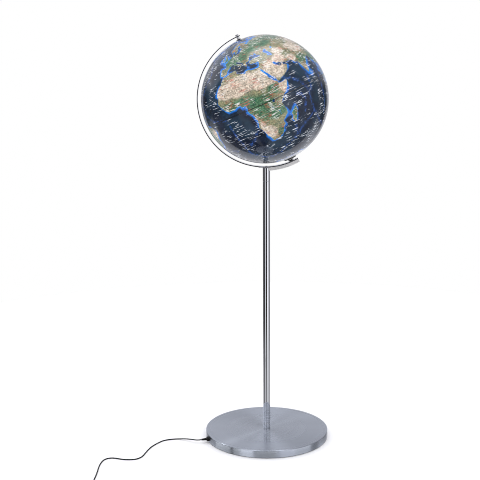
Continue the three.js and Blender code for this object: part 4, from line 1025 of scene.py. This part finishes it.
def make_plug():
    place = Matrix.Translation((PLUG_X, PLUG_Y, 0))
    middle = PLUG_HEIGHT / 2
    stations = (   # distance from the lead's end, half width, half height
        (0.0, 3.4, 3.4), (1.2, 4.0, 4.0), (5, 4.7, 4.6), (9, 6.4, 5.3), (13, 9.0, 6.0), (17, 12.0, 6.6),
        (21, 14.8, 6.85), (25, 16.6, 6.9), (29, 17.3, 6.9), (34, 17.5, 6.9), (35.4, 17.3, 6.7),
        (36, 16.7, 6.1))
    rings = []
    for x, w, h in stations:
        ring = []
        for i in range(64):
            angle = 2 * math.pi * i / 64
            power = 0.55 if x > 12 else 0.8
            c, s = math.cos(angle), math.sin(angle)
            ring.append((x * MM, math.copysign(abs(c) ** power, c) * w * MM,
                         middle + math.copysign(abs(s) ** power, s) * h * MM))
        rings.append(ring)
    body = loft("plug_shell", rings, place, sharp=50.0)
    for x in (14.5, 17.5, 20.5):           # finger grips, above and below
        for z in (5.55, -7.55):
            low, high = mm((x, -20, middle / MM + z), (x + 1.1, 20, middle / MM + z + 2))
            carve(body, box("grip", low, high, place))
    dress(body, "black_rubber", "plug_body")
    pins = []
    for i, side in enumerate((-1, 1), 1):
        start = (place @ Matrix.Translation((PLUG_LENGTH + 0.3 * MM, side * 9.3 * MM, middle))
                 @ Matrix.Rotation(math.pi / 2, 4, "Y"))
        pin = lathe(f"pin_{i}", fillet(mm((0, 0), (1.95, 0), (1.95, 10, 0.1), (2, 10.2, 0.1),
                                          (2, 19, 1.3), (0, 19))), start, sides=40)
        dress(pin, "chrome", f"plug_pin_{i}")
        sleeve = lathe(f"pin_sleeve_{i}", fillet(mm((1.97, 0), (2.3, 0), (2.3, 9.8, 0.2),
                                                    (1.97, 9.8))), start, sides=40)
        pins += [pin, dress(sleeve, "black_plastic")]

    line = [p for p in cord_tail if p.x < PLUG_X + 0.2 * MM][-9:]
    radii = []
    for k in range(len(line)):
        radii.append((2.25 + 1.1 * k / (len(line) - 1) - (0.3 if k % 2 else 0)) * MM)
    relief = pipe("plug_relief", line, radii)
    return [body, *pins, dress(relief, "black_rubber")]


def make_tie():
    """A soft strap round the coil."""
    angle = math.radians(-128)
    middle = (COIL_OUTER + COIL_INNER) / 2
    place = Matrix.Translation(COIL) @ Matrix.Rotation(angle, 4, "Z")
    reach = (COIL_OUTER - COIL_INNER) / 2 + CORD_RADIUS + 0.15 * MM
    low, high = COIL_LOW - CORD_RADIUS - 0.15 * MM, COIL_LOW + 3 * LAYER + CORD_RADIUS + 0.15 * MM
    thick, half = 0.6 * MM, 3.2 * MM

    def section(grow):
        box_points = [(middle - reach - grow, low - grow), (middle + reach + grow, low - grow),
                      (middle + reach + grow, high + grow), (middle - reach - grow, high + grow)]
        return fillet([(x, z, 1.6 * MM + grow) for x, z in box_points], 6)

    inner, outer = section(0), section(thick)
    count = len(inner)
    verts = [(x, y, z) for y in (-half, half) for ring in (inner, outer) for x, z in ring]
    faces = []
    for i in range(count):
        j = (i + 1) % count
        a, b, c, d = (ring * count for ring in range(4))       # near inner and outer, far the same
        faces += [(a + i, a + j, b + j, b + i), (c + i, d + i, d + j, c + j),
                  (b + i, b + j, d + j, d + i), (a + i, c + i, c + j, a + j)]
    return dress(put("coil_tie", verts, faces, place), "black_plastic")


make_base()
make_post()
make_strip()
make_fittings()
cord_pieces = [*make_switch(), *make_plug(), make_tie()]
dress(cord, "black_rubber")

# the pieces inside keep their CAD shape and take the same finishes
INSIDE = {
    "zinc_steel": "base_plate foot_washer foot_nut plate_screw_1 plate_screw_2 plate_screw_3 "
                  "cord_clamp clamp_screw_1 clamp_screw_2 bulb_cap",
    "cast_iron": "base_weight",
    "brass": "holder_contact",
    "black_plastic": "gland_nut",
    "white_plastic": "lamp_holder bulb_body equator_band inner_lead",
    "opal_plastic": "bulb_dome",
}
for slot_name, nodes in INSIDE.items():
    for node in nodes.split():
        smooth(dress(frame["nodes"][node], slot_name), SHARP)


# ---------------------------------------------------------------- floor, light and background

def make_floor():
    sides, radius = 96, 2.2
    angles = [2 * math.pi * i / sides for i in range(sides)]
    ring = [(radius * math.cos(a), radius * math.sin(a), 0.0) for a in angles]
    mesh = bpy.data.meshes.new("floor")
    mesh.from_pydata(ring, [], [tuple(range(sides))])
    floor = bpy.data.objects.new("floor", mesh)
    floor.location.z = -0.2 * MM
    floor.visible_glossy = False           # the bright parts mirror the studio and not the lit paper
    scene.collection.objects.link(floor)

    def paper(graph, place):
        return {"Base_Color": worn(graph, place, rgb(0.90, 0.90, 0.905), rgb(0.885, 0.885, 0.89), 3.0),
                "Roughness": graph.step(graph.noise(place, 40.0), 0.3, 0.7, 0.85, 0.95)}

    mesh.materials.append(material("floor_paper", paper, Specular_IOR_Level=0.1))


def make_lamp(name, place, aim, size, power):
    data = bpy.data.lights.new(name, "AREA")
    data.shape, data.size, data.size_y = "RECTANGLE", *size
    data.energy = power
    lamp = bpy.data.objects.new(name, data)
    lamp.location = place
    lamp.rotation_mode = "QUATERNION"
    lamp.rotation_quaternion = (Vector(aim) - Vector(place)).to_track_quat("-Z", "Y")
    lamp.visible_camera = False
    scene.collection.objects.link(lamp)
    return lamp


def make_world():
    """A white studio round the object. Mirror-bright parts see its lit panels and dark gaps."""
    world = bpy.data.worlds.new("studio")
    scene.world = world
    world.use_nodes = True
    graph = Graph(world.node_tree)
    parts = graph.node("SeparateXYZ", None, {0: graph.node("TexCoord").outputs["Generated"]})
    x, y, z = parts.outputs
    azimuth = graph.times(graph.calc("ARCTAN2", x, graph.times(y, -1.0)), math.degrees(1.0))

    def panel(low, high, soft):
        """1 between two azimuths, measured from the camera's side towards +X, with soft edges."""
        return graph.times(graph.step(azimuth, low - soft, low + soft),
                           graph.step(azimuth, high - soft, high + soft, 1.0, 0.0))

    def blend(low, high, amount):
        """low where amount is 0, high where it is 1."""
        return graph.plus(graph.times(low, graph.calc("SUBTRACT", 1.0, amount)),
                          graph.times(high, amount))

    # level with the post: a dark gap round the camera, lit panels on both sides of it
    level = 0.02
    for low, high, soft, bright in ((-50, -22, 5, 0.74), (21, 52, 5, 1.05), (52, 92, 8, 0.55),
                                    (92, 124, 8, 0.22), (-122, -88, 8, 0.10)):
        level = graph.plus(level, graph.times(panel(low, high, soft), bright))
    panels = level
    level = graph.plus(level, graph.step(y, 0.78, 0.90, 0.0, 0.75))
    # above: an even ceiling, a little brighter on the left
    ceiling = graph.plus(0.62, graph.times(x, -0.36))
    ceiling = graph.plus(ceiling, graph.step(z, 0.91, 0.97, 0.0, 3.2))
    rise = graph.step(y, 0.30, 0.10, 0.0, 0.28)        # the panels stand higher than the back wall
    level = blend(level, ceiling, graph.step(graph.calc("SUBTRACT", z, rise), 0.06, 0.20))
    # below: the table's grey front, and its lit back with a clean edge
    front = blend(graph.step(z, -0.45, -0.62, 0.42, 0.20), panels, 0.45)
    under = blend(front, 0.95, graph.step(y, 0.40, 0.44))
    shallow = graph.step(z, -0.27, -0.36, 0.0, 0.5)
    level = blend(level, under, graph.plus(shallow, graph.step(z, -0.36, -0.46, 0.0, 0.5)))
    seen = graph.node("CombineColor", None, {0: level, 1: level, 2: graph.times(level, 1.06)})

    path = graph.node("LightPath")
    lit = graph.mix(path.outputs["Is Diffuse Ray"], seen.outputs[0], rgb(1.28, 1.28, 1.30))
    colour = graph.mix(path.outputs["Is Camera Ray"], lit, rgb(1.0, 1.0, 1.0))
    background = graph.node("Background", None, {"Color": colour, "Strength": 1.0})
    graph.node("OutputWorld", None, {"Surface": background.outputs[0]})


make_floor()
make_world()
streak = make_lamp("streak", (-1.35, 1.2, 2.0), (0, 0, 0), (0.10, 0.10), 4.0)
lit_pieces = bpy.data.collections.new("streak_lit")
lit_pieces.objects.link(bpy.data.objects["cover"])
streak.light_linking.receiver_collection = lit_pieces
# the lit paper, as the base's side mirrors it: from under the floor, which doesn't hold it back
nothing = bpy.data.collections.new("streak_blockers")
for number, (turn, power) in enumerate(((-85, 2.2), (-42, 2.0), (0, 1.8), (65, 1.2))):
    angle = math.radians(turn)
    spot = (1.6 * math.sin(angle), -1.6 * math.cos(angle), -0.38)
    bounce = make_lamp(f"bounce_{number}", spot, (0, 0, 0.012), (1.1, 0.5), power)
    bounce.light_linking.receiver_collection = lit_pieces
    bounce.light_linking.blocker_collection = nothing


# ---------------------------------------------------------------- last update

tuple(cord_points[0])
[tuple(p) for p in cord_points]
bpy.context.view_layer.update()
